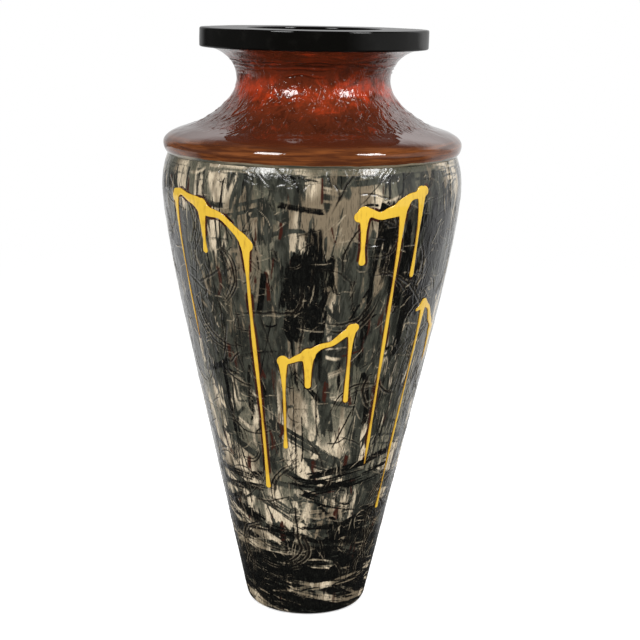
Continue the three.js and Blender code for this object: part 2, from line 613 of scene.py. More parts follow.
WASHES = (
    Strokes(Layer.WASH, 200, (40, 160), (8, 34), 0.3, (0.5, 1.0), (0.35, 0.95)),
    Strokes(Layer.WASH, 110, (40, 160), (2, 7), 0.04, (0.5, 0.9), turn=LEVEL, between=(702, 716)),
    Strokes(Layer.CHARCOAL, 90, (25, 120), (1.5, 5), 0.05, (0.4, 0.9), turn=LEVEL, between=(694, 714)),
)
DARKS = (
    Strokes(Layer.CHARCOAL, 460, (20, 110), (4, 16), 0.25, chosen=True),
    Strokes(None, 260, (16, 110), (2, 10), 0.2),
    Strokes(Layer.BLACK, 330, (14, 90), (3, 10), 0.35, chosen=True),
    Strokes(Layer.CHARCOAL, 420, (40, 190), (1.5, 5), 0.1),
    Strokes(Layer.BLACK, 300, (30, 150), (1.5, 4), 0.12),
)


@dataclass(frozen=True)
class Lines:
    """A kind of thin line: how many there are, and the ranges of their sizes in millimetres.

    They stand about upright, lean anyhow or lie about level, in the given shares.
    """

    layer: Layer
    number: int
    length: Pair
    width: Pair
    bend: float
    depth: Pair
    strength: Pair
    upright: float
    anyhow: float
    level: float
    shares: tuple[float, float, float]
    lowest: float = 15


LONG_LINES = Lines(
    Layer.LINE, 230, (28, 130), (1.8, 3.2), 7, (0.3, 0.65), (0.5, 0.9), 0.2, 1.2, 0.2, (0.5, 0.3, 0.2))
SHORT_LINES = Lines(
    Layer.LINE, 1300, (5, 34), (1.2, 2.4), 2.5, (0.1, 0.4), (0.3, 0.9), 0.3, 1.6, 0.25, (0.3, 0.4, 0.3))
SCRATCHES = Lines(
    Layer.SCRATCH_AND_LIP_HIGHLIGHT, 1900, (6, 45), (1.3, 2.3), 2.5, (0.1, 0.4), (0.2, 0.8), 0.3, 1.6, 0.25,
    (0.3, 0.4, 0.3), lowest=100)


@dataclass
class BodyPainting:
    """Brushwork of the body: how many strokes of each kind, and where they thicken."""

    form: VaseForm
    bands: int = 34
    crossings: int = 460
    columns: int = 18
    black_fields: int = 9
    slants: int = 26
    touches: int = 280
    combs: int = 64
    hatches: int = 130
    dark_foot: float = 95 * MM
    outline_width: float = 3.2 * MM
    # Edge round the pours that aren't outlined: a painted shadow of the raised run.
    shadow_edge_width: float = 1.2 * MM
    rng: np.random.Generator = field(default_factory=lambda: np.random.default_rng(SEED))

    @cached_property
    def canvas(self) -> Canvas:
        """What is painted on."""
        return Canvas(self.form, self.rng)

    def anywhere(self, low: float = 15, high: float = 708) -> Pair:
        """A random place on the body between two heights in millimetres."""
        return self.rng.uniform(0, FULL_TURN), self.rng.uniform(low * MM, high * MM)

    def weight(self, angle: np.ndarray, height: np.ndarray) -> np.ndarray:
        """How thick the dark paint lies.

        Args:
            angle: places round the axis.
            height: places above the floor.

        Returns:
            About 0 in calm parts, 1 in heavy ones.
        """
        angle, height = np.broadcast_arrays(angle / FULL_TURN, height)
        broad = self.canvas.grain(angle * 7, height / (150 * MM) + 40, 7)
        small = self.canvas.grain(angle * 17, height / (62 * MM) + 80, 17)
        upper = smooth_step(380 * MM, 500 * MM, height)
        lower = smooth_step(140 * MM, 50 * MM, height)
        calm = smooth_step(140 * MM, 200 * MM, height) * smooth_step(400 * MM, 330 * MM, height)
        level = 0.62 * broad + 0.38 * small + 0.11 * upper + 0.42 * lower - 0.22 * calm
        return smooth_step(0.32, 0.68, level)

    def heavy(self, place: Pair) -> bool:
        """Whether a dark stroke is wanted at a place: often in heavy parts, seldom in calm ones."""
        weight = self.weight(np.array([place[0]]), np.array([place[1]]))[0]
        return self.rng.random() < 0.08 + 0.92 * weight

    def stroke(self, layer: Layer | None, place: Pair, length: Pair, width: Pair, lean: float,
               dryness: Pair, strength: float = 1.0) -> None:
        """One brush stroke whose length, width and dryness are drawn from ranges.

        Args:
            layer: the coat that it goes to, or None to wipe the dark coats off.
            place: its middle, as angle and height.
            length: the range of its length, in millimetres.
            width: the range of its width, in millimetres.
            lean: its turn away from upright.
            dryness: the range of its dryness.
            strength: the most that it covers.
        """
        rng = self.rng
        self.canvas.brush(layer, *place, rng.uniform(*length) * MM, rng.uniform(*width) * MM, lean=lean,
                          bend=rng.normal(0, 3.5) * MM, dryness=rng.uniform(*dryness), strength=strength)

    def scatter(self, kind: Strokes) -> None:
        """Lays all strokes of a kind at random places.

        Args:
            kind: what they are like.
        """
        for _ in range(kind.number):
            place = self.anywhere(*kind.between)
            if not kind.chosen or self.heavy(place):
                self.stroke(kind.layer, place, kind.length, kind.width,
                            kind.turn + self.rng.normal(0, kind.spread), kind.dryness,
                            self.rng.uniform(*kind.strength))

    def ground(self) -> None:
        """The uneven tone of the tan ground, the grey-green wash over it and a veil of charcoal."""
        canvas = self.canvas
        across = canvas.angles[None, :] / FULL_TURN
        along = canvas.heights[:, None] / MM
        weight = self.weight(canvas.angles[None, :], canvas.heights[:, None])
        sway = canvas.grain(*np.broadcast_arrays(across * 40, along / 45 + 7), 40) - 0.5

        def streaks(parts: tuple[tuple[float, int, float], ...]) -> np.ndarray:
            """A sum of upright streaks.

            Args:
                parts: for each, its share, the number round and its height in millimetres.

            Returns:
                The sum at every place of the canvas.
            """
            total = 0
            for share, cells, tall in parts:
                places = np.broadcast_arrays(across * cells + sway * cells / 90, along / tall + cells)
                total = total + share * canvas.grain(*places, cells)
            return total

        canvas.layers[Layer.TONE][:] = streaks(((0.5, 30, 90), (0.3, 80, 40), (0.2, 210, 30)))
        canvas.layers[Layer.TONE] += 0.16 * (1 - weight) - 0.04 - 0.1 * smooth_step(380, 520, along)
        canvas.layers[Layer.WASH][:] = 0.75 * smooth_step(0.52, 0.38, streaks(((0.6, 24, 80), (0.4, 95, 60))))
        veil = streaks(((0.4, 52, 120), (0.35, 140, 70), (0.25, 250, 48)))
        canvas.layers[Layer.CHARCOAL][:] = 0.62 * smooth_step(0.05, 0.2, veil - 0.58 + 0.36 * weight)
        for kind in WASHES:
            self.scatter(kind)

    def darks(self) -> None:
        """Broken charcoal bands from the belly down, then dark and wiped strokes of several kinds."""
        rng = self.rng
        for band in range(self.bands):
            angle = (band + rng.uniform(-0.35, 0.35)) / self.bands * FULL_TURN
            height = rng.uniform(600, 680)
            while height > 60:
                place = (angle + rng.normal(0, 0.03), height * MM)
                if self.heavy(place):
                    self.stroke(Layer.CHARCOAL, place, (70, 200), (9, 34), rng.normal(0, 0.08),
                                (0.3, 0.9), rng.uniform(0.6, 1))
                height -= rng.uniform(45, 110)
        for kind in DARKS:
            self.scatter(kind)
        for _ in range(self.crossings):
            lean = LEVEL + rng.normal(0, 0.4)
            layer = rng.choice([Layer.CHARCOAL, Layer.BLACK, None], p=[0.55, 0.2, 0.25])
            self.stroke(layer, self.anywhere(), (10, 80), (2, 10), lean, (0.3, 0.9),
                        rng.uniform(0.5, 1))

    def uprights(self) -> None:
        """Long charcoal columns with black in them."""
        rng = self.rng
        for column in range(self.columns):
            angle = (column + rng.uniform(0, 1)) / self.columns * FULL_TURN
            place = (angle, rng.uniform(230, 560) * MM)
            self.stroke(Layer.CHARCOAL, place, (180, 380), (12, 28), rng.normal(0, 0.05),
                        (0.25, 0.6), rng.uniform(0.8, 1))
            self.stroke(Layer.BLACK, place, (90, 260), (4, 12), rng.normal(0, 0.06),
                        (0.4, 0.9), rng.uniform(0.5, 1))

    def fields(self) -> None:
        """Black fields on the belly, one in each sector, at the heaviest of a few tried places."""
        rng = self.rng
        sector = FULL_TURN / self.black_fields
        for number in range(self.black_fields):
            angles = (number + rng.uniform(0, 1, 8)) * sector
            heights = rng.uniform(540, 665, 8) * MM
            best = int(np.argmax(self.weight(angles, heights)))
            for layer, strokes, across, along in ((Layer.CHARCOAL, 10, 0.2, 50), (Layer.BLACK, 13, 0.12, 34)):
                for _ in range(strokes):
                    place = (angles[best] + rng.normal(0, across), heights[best] + rng.normal(0, along) * MM)
                    self.stroke(layer, place, (40, 150), (9, 36), rng.normal(0, 0.14), (0.3, 0.95),
                                rng.uniform(0.7, 1))

    def foot(self) -> None:
        """Slanting charcoal strokes on the cone, and the dark foot with wiped strokes in it."""
        rng = self.rng
        for _ in range(self.slants):
            self.stroke(Layer.CHARCOAL, self.anywhere(90, 300), (120, 280), (10, 26),
                        math.radians(rng.uniform(58, 84)), (0.3, 0.8), rng.uniform(0.7, 1))
        for layer, number, width, strength in (
                (Layer.BLACK, 170, (10, 36), (0.7, 1)), (None, 80, (3, 14), (0.3, 0.8)),
                (Layer.BLACK, 50, (3, 14), (0.7, 1))):
            for _ in range(number):
                place = (rng.uniform(0, FULL_TURN), abs(rng.normal(0, 1)) * self.dark_foot + 6 * MM)
                self.stroke(layer, place, (50, 210), width, math.radians(rng.uniform(62, 104)),
                            (0.45, 0.95), rng.uniform(*strength))

    def accents(self) -> None:
        """Red-brown touches, a wide red-brown outline round the outlined pours, and a thin dark red-brown
        edge round the others as a painted shadow of the raised run.
        """
        rng, canvas = self.rng, self.canvas
        for pour in POURS:
            for strand in pour.strands:
                # Outlined pours get the wide painted outline, the others a thin edge that is a painted
                # shadow.
                canvas.trace(Layer.BROWN, strand, self.outline_width if pour.outlined else self.shadow_edge_width)
        places = np.broadcast_arrays(canvas.angles[None, :] / FULL_TURN * 60,
                                     canvas.heights[:, None] / (26 * MM) + 33)
        canvas.layers[Layer.BROWN] *= smooth_step(0.25, 0.6, canvas.grain(*places, 60))
        for _ in range(self.touches):
            lean = rng.normal(0, 0.15) if rng.random() < 0.94 else LEVEL + rng.normal(0, 0.2)
            self.stroke(Layer.BROWN, self.anywhere(), (10, 60), (3, 9), lean, (0.3, 0.95),
                        rng.uniform(0.4, 0.9))

    def draw(self, kind: Lines) -> None:
        """Draws all lines of a kind at random places.

        Args:
            kind: what they are like.
        """
        rng = self.rng
        side = -1 if kind.layer is Layer.SCRATCH_AND_LIP_HIGHLIGHT else 1
        for _ in range(kind.number):
            leans = [rng.normal(0, kind.upright), rng.uniform(-kind.anyhow, kind.anyhow),
                     rng.normal(1.5, kind.level)]
            lean = rng.choice(leans, p=kind.shares)
            self.canvas.scribe(
                kind.layer, *self.anywhere(kind.lowest), rng.uniform(*kind.length) * MM,
                rng.uniform(*kind.width) * MM, lean, rng.normal(0, kind.bend) * MM,
                side * rng.uniform(*kind.depth) * MM, rng.uniform(*kind.strength))

    def marks(self) -> None:
        """Scribed dark lines and combed arcs with painted highlights on their lips, pale raised scratches and
        hatched patches.
        """
        rng, canvas = self.rng, self.canvas
        self.draw(LONG_LINES)
        for _ in range(self.combs):
            angle, height = self.anywhere(110, 650)
            length, lean = rng.uniform(45, 120) * MM, rng.uniform(-math.pi, math.pi)
            bend = length * rng.uniform(0.22, 0.42)
            radius = float(np.interp(height, canvas.heights, canvas.radii))
            for number in range(rng.integers(1, 4)):
                away = number * rng.uniform(4.5, 7) * MM
                place = (angle + away * math.cos(lean) / radius, height + away * math.sin(lean))
                canvas.scribe(Layer.LINE, *place, length, rng.uniform(2.2, 3.4) * MM, lean, bend,
                              rng.uniform(0.4, 0.7) * MM, rng.uniform(0.5, 0.95))
        self.draw(SHORT_LINES)
        self.draw(SCRATCHES)
        for _ in range(self.hatches):
            angle, height = self.anywhere(80, 640)
            lean, gap = rng.uniform(-1.3, 1.3), rng.uniform(4, 8) * MM
            layer = Layer.SCRATCH_AND_LIP_HIGHLIGHT if rng.random() < 0.6 else Layer.LINE
            for step in range(rng.integers(4, 10)):
                canvas.scribe(layer, angle + rng.normal(0, 0.015), height + step * gap,
                              rng.uniform(8, 28) * MM, rng.uniform(1.4, 2.4) * MM,
                              lean + rng.normal(0, 0.2), rng.normal(0, 2) * MM,
                              rng.uniform(-0.4, 0.4) * MM, rng.uniform(0.3, 0.85))

    def folds(self) -> None:
        """The low folds that run all over the coat."""
        canvas = self.canvas
        for cells, tall, depth, power in ((88, 38 * MM, 0.42 * MM, 3), (230, 9 * MM, 0.13 * MM, 1)):
            across, along = np.broadcast_arrays(canvas.angles[None, :] / FULL_TURN * cells,
                                                canvas.heights[:, None] / tall)
            warp = canvas.grain(across / 2, along / 2 + 9, cells // 2) * 2
            fold = 1 - np.abs(canvas.grain(across, along + warp, cells) * 2 - 1)
            canvas.layers[Layer.RELIEF] += depth * (fold**power).astype(np.float32)

    def paint(self) -> Canvas:
        """Paints the whole body.

        Returns:
            The canvas with every layer filled.
        """
        canvas = self.canvas
        for part in (self.ground, self.darks, self.uprights, self.fields, self.foot, self.accents,
                     self.marks, self.folds):
            part()
        return canvas


class NodeBench:
    """Lays and links the nodes of one material or of the world."""

    def __init__(self, name: str, world: bool = False) -> None:
        """Starts an empty node tree.

        Args:
            name: the material's or the world's name.
            world: whether it is the world.
        """
        self.owner = (bpy.data.worlds if world else bpy.data.materials).new(name)
        self.owner.use_nodes = True
        self.tree = self.owner.node_tree
        self.tree.nodes.clear()
        self.output = self.tree.nodes.new("ShaderNodeOutputWorld" if world else "ShaderNodeOutputMaterial")
        place = self.tree.nodes.new("ShaderNodeTexCoord")
        self.coordinates = place.outputs["Generated" if world else "Object"]

    def xyz(self) -> tuple[Socket, ...]:
        """The three coordinates, each on its own."""
        return tuple(self.node("ShaderNodeSeparateXYZ", {0: self.coordinates}).outputs)

    def close(self, surface: bpy.types.Node) -> bpy.types.Material | bpy.types.World:
        """Links the last node to the output and gives back what was made."""
        self.tree.links.new(surface.outputs[0], self.output.inputs["Surface"])
        return self.owner

    def node(self, kind: str, inputs: dict | None = None, **settings: object) -> bpy.types.Node:
        """A node with its settings and inputs.

        Args:
            kind: Blender's name for the kind of node.
            inputs: for each input, a socket to link or a plain value.
            settings: its properties.

        Returns:
            The node.
        """
        node = self.tree.nodes.new(kind)
        for key, value in settings.items():
            setattr(node, key, value)
        for key, value in (inputs or {}).items():
            if isinstance(value, Socket):
                self.tree.links.new(value, node.inputs[key])
            else:
                node.inputs[key].default_value = value
        return node

    def noise(self, scale: float, stretch: tuple[float, float, float] = (1, 1, 1), detail: float = 3,
              roughness: float = 0.55, distortion: float = 0.0) -> Socket:
        """Cloudy values in the object's own space.

        Args:
            scale: how many clouds there are to a metre.
            stretch: factors on the scale along each axis.
            detail: how many finer sizes are added.
            roughness: how much the finer ones weigh.
            distortion: how much the clouds are bent.

        Returns:
            The socket with values from 0 to 1.
        """
        placed = self.node("ShaderNodeMapping", {"Vector": self.coordinates, "Scale": stretch})
        noise = self.node("ShaderNodeTexNoise", {
            "Vector": placed.outputs[0], "Scale": scale, "Detail": detail,
            "Roughness": roughness, "Distortion": distortion})
        return noise.outputs["Fac"]

    def calc(self, operation: str, first: object, second: object = 0.0, third: object = 0.0) -> Socket:
        """One step of arithmetic."""
        return self.node("ShaderNodeMath", {0: first, 1: second, 2: third}, operation=operation).outputs[0]

    def step(self, value: Socket, low: float, high: float, start: float = 0.0, end: float = 1.0) -> Socket:
        """A soft rise.

        Args:
            value: what it depends on.
            low: the value at which it starts.
            high: the value at which it ends.
            start: what it is below low.
            end: what it is above high.

        Returns:
            The risen value.
        """
        return self.node("ShaderNodeMapRange", {
            "Value": value, "From Min": low, "From Max": high, "To Min": start, "To Max": end,
        }, interpolation_type="SMOOTHSTEP").outputs[0]

    def mix(self, factor: Socket, first: Socket | Color, second: Socket | Color) -> Socket:
        """A blend of two colours.

        Args:
            factor: 0 for the first one, 1 for the second.
            first: a socket or three numbers.
            second: a socket or three numbers.

        Returns:
            The blended colour.
        """
        ends = [color if isinstance(color, Socket) else (*color, 1.0) for color in (first, second)]
        return self.node("ShaderNodeMix", {0: factor, 6: ends[0], 7: ends[1]}, data_type="RGBA").outputs[2]

    def attribute(self, name: str) -> tuple[Socket, ...]:
        """A colour attribute of the vertices.

        Args:
            name: the attribute's name.

        Returns:
            Its four values.
        """
        node = self.node("ShaderNodeAttribute", attribute_name=name)
        parts = self.node("ShaderNodeSeparateColor", {"Color": node.outputs["Color"]})
        return (*parts.outputs, node.outputs["Alpha"])

    def gloss(self, color: Socket, bump: Socket, bump_height: float, roughness: float = 0.4,
              coat: float = 1.0) -> bpy.types.Material:
        """Closes the material with a clear-coated surface.

        Args:
            color: base colour.
            bump: height of the fine relief from 0 to 1.
            bump_height: what 1 of it stands for, in metres.
            roughness: of the colour coat under the clear one.
            coat: strength of the clear coat.

        Returns:
            The finished material.
        """
        relief = self.node("ShaderNodeBump", {"Strength": 1.0, "Distance": bump_height, "Height": bump})
        return self.close(self.node("ShaderNodeBsdfPrincipled", {
            "Base Color": color, "Roughness": roughness, "Specular IOR Level": 0.0,
            "Coat Weight": coat, "Coat Roughness": 0.04, "Coat IOR": 1.5,
            "Normal": relief.outputs[0], "Coat Normal": relief.outputs[0]}))


@dataclass(frozen=True)
class PaintedBody:
    """Tan ground under grey-green wash, charcoal, black and brown brushwork, with scribed lines and pale
    scratches; pale paint on the lips of the lines is a painted highlight.
    """

    tan_light: Color = (0.54, 0.452, 0.325)
    tan_dark: Color = (0.15, 0.118, 0.078)
    wash: Color = (0.068, 0.068, 0.049)
    charcoal: Color = (0.015, 0.0155, 0.0125)
    charcoal_light: Color = (0.040, 0.041, 0.032)
    black: Color = (0.0022, 0.0022, 0.002)
    brown: Color = (0.032, 0.009, 0.0055)
    line: Color = (0.007, 0.0055, 0.004)
    # Pale tan of the scratches, also the painted highlight on the lips of the dark lines.
    scratch_and_lip_highlight: Color = (0.30, 0.25, 0.175)
    band_level: float = 709.5 * MM
    band_sway: float = 7 * MM
    band_edge: float = 1 * MM
    fine_relief: float = 0.35 * MM

    def build(self) -> bpy.types.Material:
        """Makes the material.

        Returns:
            The material.
        """
        bench = NodeBench("painted_body")
        wash, charcoal, black, brown = bench.attribute("paint")
        line, scratch_and_lip_highlight, tone, _ = bench.attribute("marks")
        streak = bench.noise(420, (1, 1, 0.1), detail=4, roughness=0.65)
        speck = bench.noise(900, detail=2)
        cloud = bench.noise(26, (1, 1, 0.6), detail=5, roughness=0.65, distortion=0.6)
        ragged = bench.calc("MULTIPLY_ADD", bench.calc("SUBTRACT", streak, 0.5), 0.9,
                            bench.calc("MULTIPLY", bench.calc("SUBTRACT", speck, 0.5), 0.35))

        level = bench.calc("MULTIPLY_ADD", cloud, self.band_sway, bench.xyz()[2])
        below = bench.step(level, self.band_level - self.band_edge, self.band_level + self.band_edge, 1, 0)

        patch = bench.calc("MULTIPLY_ADD", cloud, 0.35, tone)
        color = bench.mix(bench.step(patch, 0.55, 0.82), self.tan_dark, self.tan_light)
        color = bench.mix(bench.step(streak, 0.48, 0.75, 0, 0.75), color, self.tan_dark)
        veil = bench.calc("MULTIPLY_ADD", ragged, 0.7, wash)
        color = bench.mix(bench.step(veil, 0.1, 0.9), color, self.wash)
        drag = bench.noise(95, (1, 1, 0.22), detail=3, roughness=0.6, distortion=0.4)
        dragged = bench.mix(bench.step(drag, 0.42, 0.62), self.charcoal, self.charcoal_light)

        def coated(under: Socket, coat: Socket, over: Socket | Color, rough: float, low: float,
                   high: float) -> Socket:
            """A coat of paint over what is there, with its edge broken by the bristles.

            Args:
                under: the colour so far.
                coat: how thick the coat lies.
                over: its colour.
                rough: how much the bristles break its edge.
                low: the thickness from which it shows.
                high: the thickness from which it covers.

            Returns:
                The colour with the coat on it.
            """
            broken = bench.calc("MULTIPLY_ADD", ragged, rough, coat)
            return bench.mix(bench.calc("MULTIPLY", bench.step(broken, low, high), below), under, over)

        color = coated(color, charcoal, dragged, 0.8, 0.2, 0.62)
        color = coated(color, brown, self.brown, 0.5, 0.3, 0.65)
        color = coated(color, black, self.black, 0.8, 0.25, 0.65)
        hair = bench.noise(700, (1, 1, 0.07), detail=3, roughness=0.6)
        color = bench.mix(bench.step(hair, 0.5, 0.68, 0, 0.55), color, self.charcoal)
        # Pale scratches, and painted highlights along the lips of the dark lines.
        color = coated(color, scratch_and_lip_highlight, self.scratch_and_lip_highlight, 0.8, 0.2, 0.85)
        color = coated(color, line, self.line, 0.3, 0.2, 0.7)
        wrinkles = bench.noise(150, (1, 1, 0.5), detail=3, distortion=1.2)
        relief = bench.calc("MULTIPLY_ADD", streak, 0.6, wrinkles)
        relief = bench.calc("MULTIPLY_ADD", bench.calc("SUBTRACT", scratch_and_lip_highlight, line), 1.4, relief)
        return bench.gloss(color, relief, self.fine_relief)


@dataclass(frozen=True)
class RedNeck:
    """Red-brown glaze with orange-red patches round the waist."""

    bright: Color = (0.42, 0.040, 0.009)
    deep: Color = (0.105, 0.0185, 0.0065)
    foot: Color = (0.055, 0.0125, 0.005)
    # Dark of the wrinkles' hollows: pooled glaze and painted shade.
    pooled_glaze_and_shade: Color = (0.016, 0.004, 0.002)
    waist_level: float = 812 * MM
    foot_levels: Pair = (778 * MM, 812 * MM)
    collar_levels: Pair = (838 * MM, 852 * MM)
    patch_sway: float = 120 * MM
    patch_levels: Pair = (36 * MM, 80 * MM)
    foot_sway: float = 30 * MM
    fine_relief: float = 0.3 * MM

    def build(self) -> bpy.types.Material:
        """Makes the material.

        Returns:
            The material.
        """
        bench = NodeBench("red_neck")
        height = bench.xyz()[2]
        away = bench.calc("ABSOLUTE", bench.calc("SUBTRACT", height, self.waist_level))
        cloud = bench.noise(24, (1, 1, 1.5), detail=5, roughness=0.65, distortion=1.0)
        level = bench.calc("MULTIPLY_ADD", cloud, self.patch_sway, bench.calc("MULTIPLY", away, -1.0))
        color = bench.mix(bench.step(level, *self.patch_levels), self.deep, self.bright)
        rings = bench.noise(26, (1, 1, 7), detail=4, roughness=0.6, distortion=0.5)
        # Dark and bright streaks under the rim: streaked glaze, with painted shade under the rim and painted
        # glints on the folds.
        collar = bench.step(height, *self.collar_levels)
        dark_rings = bench.calc("MULTIPLY", bench.step(rings, 0.42, 0.6), collar)
        color = bench.mix(dark_rings, color, self.foot)
        bright_rings = bench.calc("MULTIPLY", bench.step(rings, 0.42, 0.3, 0, 0.45), collar)
        color = bench.mix(bright_rings, color, self.bright)
        # Darker brown at the foot towards the crease: the glaze's own colour and painted shade of the crease.
        low = bench.calc("MULTIPLY_ADD", cloud, self.foot_sway, height)
        color = bench.mix(bench.step(low, *self.foot_levels, 1, 0), color, self.foot)
        streak = bench.noise(150, (1, 1, 0.3), detail=4)
        color = bench.mix(bench.step(streak, 0.45, 0.8, 0, 0.6), color, self.foot)
        # Darker in the wrinkles' hollows and paler on their ridges: pooled glaze, with painted shade in the
        # hollows and painted highlights on the ridges.
        film = bench.attribute("film")[0]
        color = bench.mix(bench.step(film, 0.5, 0.2, 0, 0.45), color, self.pooled_glaze_and_shade)
        color = bench.mix(bench.step(film, 0.6, 0.9, 0, 0.15), color, self.bright)
        crease = bench.noise(75, (1, 1, 0.6), detail=2, distortion=1.2)
        crease = bench.calc("ABSOLUTE", bench.calc("SUBTRACT", crease, 0.5))
        relief = bench.calc("MULTIPLY_ADD", bench.step(crease, 0.06, 0.0), 0.8, bench.noise(110, detail=2))
        return bench.gloss(color, relief, self.fine_relief)


@dataclass(frozen=True)
class BrownRoll:
    """Brown glaze, lighter round the side and darker on top towards the crease, partly as painted shade, over
    a tan and grey-green lower edge.
    """

    # Darker brown of the top towards the crease: the glaze's own colour and painted shade.
    top: Color = (0.055, 0.0125, 0.005)
    dark: Color = (0.055, 0.016, 0.006)
    light: Color = (0.155, 0.048, 0.013)
    edge: Color = (0.19, 0.16, 0.11)
    edge_dark: Color = (0.04, 0.042, 0.031)
    top_levels: Pair = (738 * MM, 748 * MM)
    edge_levels: Pair = (721.4 * MM, 722.6 * MM)
    edge_sway: float = 6 * MM
    fine_relief: float = 0.25 * MM

    def build(self) -> bpy.types.Material:
        """Makes the material.

        Returns:
            The material.
        """
        bench = NodeBench("brown_roll")
        height = bench.xyz()[2]
        streak = bench.noise(14, (1, 1, 14), detail=5, roughness=0.6)
        cloud = bench.noise(22, (1, 1, 2), detail=4, roughness=0.6)
        color = bench.mix(bench.step(streak, 0.38, 0.68), self.dark, self.light)
        # The top is darker: the glaze's own colour, with painted shade of the crease.
        color = bench.mix(bench.step(height, *self.top_levels), color, self.top)
        edge = bench.mix(bench.step(streak, 0.4, 0.62), self.edge, self.edge_dark)
        level = bench.calc("MULTIPLY_ADD", cloud, self.edge_sway, height)
        color = bench.mix(bench.step(level, *self.edge_levels, 1, 0), color, edge)
        return bench.gloss(color, bench.noise(70, (1, 1, 2), detail=3), self.fine_relief)


@dataclass(frozen=True)
class BlackRim:
    """Black glaze with a faint unevenness."""

    black: Color = (0.0022, 0.0021, 0.0018)
    worn: Color = (0.006, 0.0058, 0.005)
    fine_relief: float = 0.15 * MM

    def build(self) -> bpy.types.Material:
        """Makes the material.

        Returns:
            The material.
        """
        bench = NodeBench("black_rim")
        cloud = bench.noise(55, detail=5, roughness=0.7)
        color = bench.mix(bench.step(cloud, 0.5, 0.8), self.black, self.worn)
        return bench.gloss(color, bench.noise(80, detail=3), self.fine_relief, roughness=0.35, coat=0.45)


@dataclass(frozen=True)
class YellowGlaze:
    """Chrome yellow poured glaze, with dirt drawn into its surface."""

    yellow: Color = (0.58, 0.372, 0.040)
    shade: Color = (0.40, 0.235, 0.027)
    edge: Color = (0.27, 0.13, 0.015)
    fine_relief: float = 0.2 * MM

    def build(self) -> bpy.types.Material:
        """Makes the material.

        Returns:
            The material.
        """
        bench = NodeBench("yellow_glaze")
        streak = bench.noise(240, (1, 1, 0.2), detail=4)
        color = bench.mix(bench.step(streak, 0.5, 0.8), self.yellow, self.shade)
        color = bench.mix(bench.step(bench.attribute("film")[0], 0.9, 0.35), color, self.edge)
        return bench.gloss(color, bench.noise(180, (1, 1, 0.3), detail=3), self.fine_relief, roughness=0.35)


@dataclass(frozen=True)
class PlainGlaze:
    """One dark glaze for the inside, or the bare clay of the foot ring."""

    name: str
    color: Color
    roughness: float
    coat: float
    darkening: float = 0.55
    fine_relief: float = 0.2 * MM

    def build(self) -> bpy.types.Material:
        """Makes the material.

        Returns:
            The material.
        """
        bench = NodeBench(self.name)
        cloud = bench.noise(40, detail=5, roughness=0.65)
        darker = tuple(self.darkening * value for value in self.color)
        color = bench.mix(bench.step(cloud, 0.35, 0.7), self.color, darker)
        return bench.gloss(color, bench.noise(300, detail=3), self.fine_relief, self.roughness, self.coat)


def pick(*pieces: bpy.types.Object) -> None:
    """Selects these objects alone and makes the first the active one.

    Args:
        pieces: the objects.
    """
    bpy.ops.object.select_all(action="DESELECT")
    for piece in pieces:
        piece.select_set(True)
    bpy.context.view_layer.objects.active = pieces[0]


def turned(name: str, profile: np.ndarray, steps: int, touch: float = 0.01 * MM) -> bpy.types.Object:
    """A turned solid: a point is extruded along the profile and the line is turned round the axis.

    Args:
        name: the object's name.
        profile: closed (radius, height) outline, not touching the axis, or open with both ends on it.
        steps: how many steps make the full turn.
        touch: how close together points are merged.

    Returns:
        The new object, with its faces pointing outwards.
    """
    bpy.ops.object.select_all(action="DESELECT")
    bpy.ops.mesh.primitive_plane_add(size=MM, location=(0, 0, 0))
    piece = bpy.context.object
    piece.name = piece.data.name = name
    bpy.ops.object.mode_set(mode="EDIT")
    bpy.ops.mesh.select_all(action="SELECT")
    bpy.ops.mesh.merge(type="CENTER")
    bpy.ops.transform.translate(value=(profile[0][0], 0, profile[0][1]))
    for before, after in zip(profile[:-1], profile[1:]):
        move = (after[0] - before[0], 0, after[1] - before[1])
        bpy.ops.mesh.extrude_region_move(TRANSFORM_OT_translate={"value": move})
    bpy.ops.object.mode_set(mode="OBJECT")
    turn = piece.modifiers.new("turn", "SCREW")
    turn.steps = turn.render_steps = steps
    turn.use_merge_vertices = True
    turn.merge_threshold = touch
    bpy.ops.object.modifier_apply(modifier=turn.name)
    bpy.ops.object.mode_set(mode="EDIT")
    bpy.ops.mesh.select_all(action="SELECT")
    bpy.ops.mesh.remove_doubles(threshold=touch)
    bpy.ops.mesh.normals_make_consistent(inside=False)
    bpy.ops.object.mode_set(mode="OBJECT")
    return piece


def coordinates(piece: bpy.types.Object) -> np.ndarray:
    """The places of a mesh's vertices.

    Args:
        piece: the object.

    Returns:
        One row for each vertex.
    """
    values = np.empty(len(piece.data.vertices) * 3, np.float32)
    piece.data.vertices.foreach_get("co", values)
    return values.reshape(-1, 3).astype(float)


def set_coordinates(piece: bpy.types.Object, values: np.ndarray) -> None:
    """Moves a mesh's vertices to new places, one row each."""
    piece.data.vertices.foreach_set("co", values.astype(np.float32).ravel())
    piece.data.update()


def spread(points: np.ndarray, outwards: np.ndarray) -> None:
    """Moves points away from the axis, each by its own distance."""
    radius = np.hypot(points[:, 0], points[:, 1])
    points[:, :2] *= (1 + outwards / np.maximum(radius, MM))[:, None]


def set_attribute(piece: bpy.types.Object, name: str, columns: list[np.ndarray]) -> None:
    """Gives every vertex four values under a name."""
    attribute = piece.data.attributes.new(name, "FLOAT_COLOR", "POINT")
    attribute.data.foreach_set("color", np.stack(columns, axis=1).astype(np.float32).ravel())


def set_film(piece: bpy.types.Object, film: np.ndarray) -> None:
    """Tells the material how thick or how high a coat stands at each vertex, from 0 to 1."""
    set_attribute(piece, "film", [film, film, film, np.ones_like(film)])


def shade(piece: bpy.types.Object, degrees: float = 35) -> None:
    """Smooth shading that keeps edges sharper than an angle."""
    pick(piece)
    bpy.ops.object.shade_smooth_by_angle(angle=math.radians(degrees))


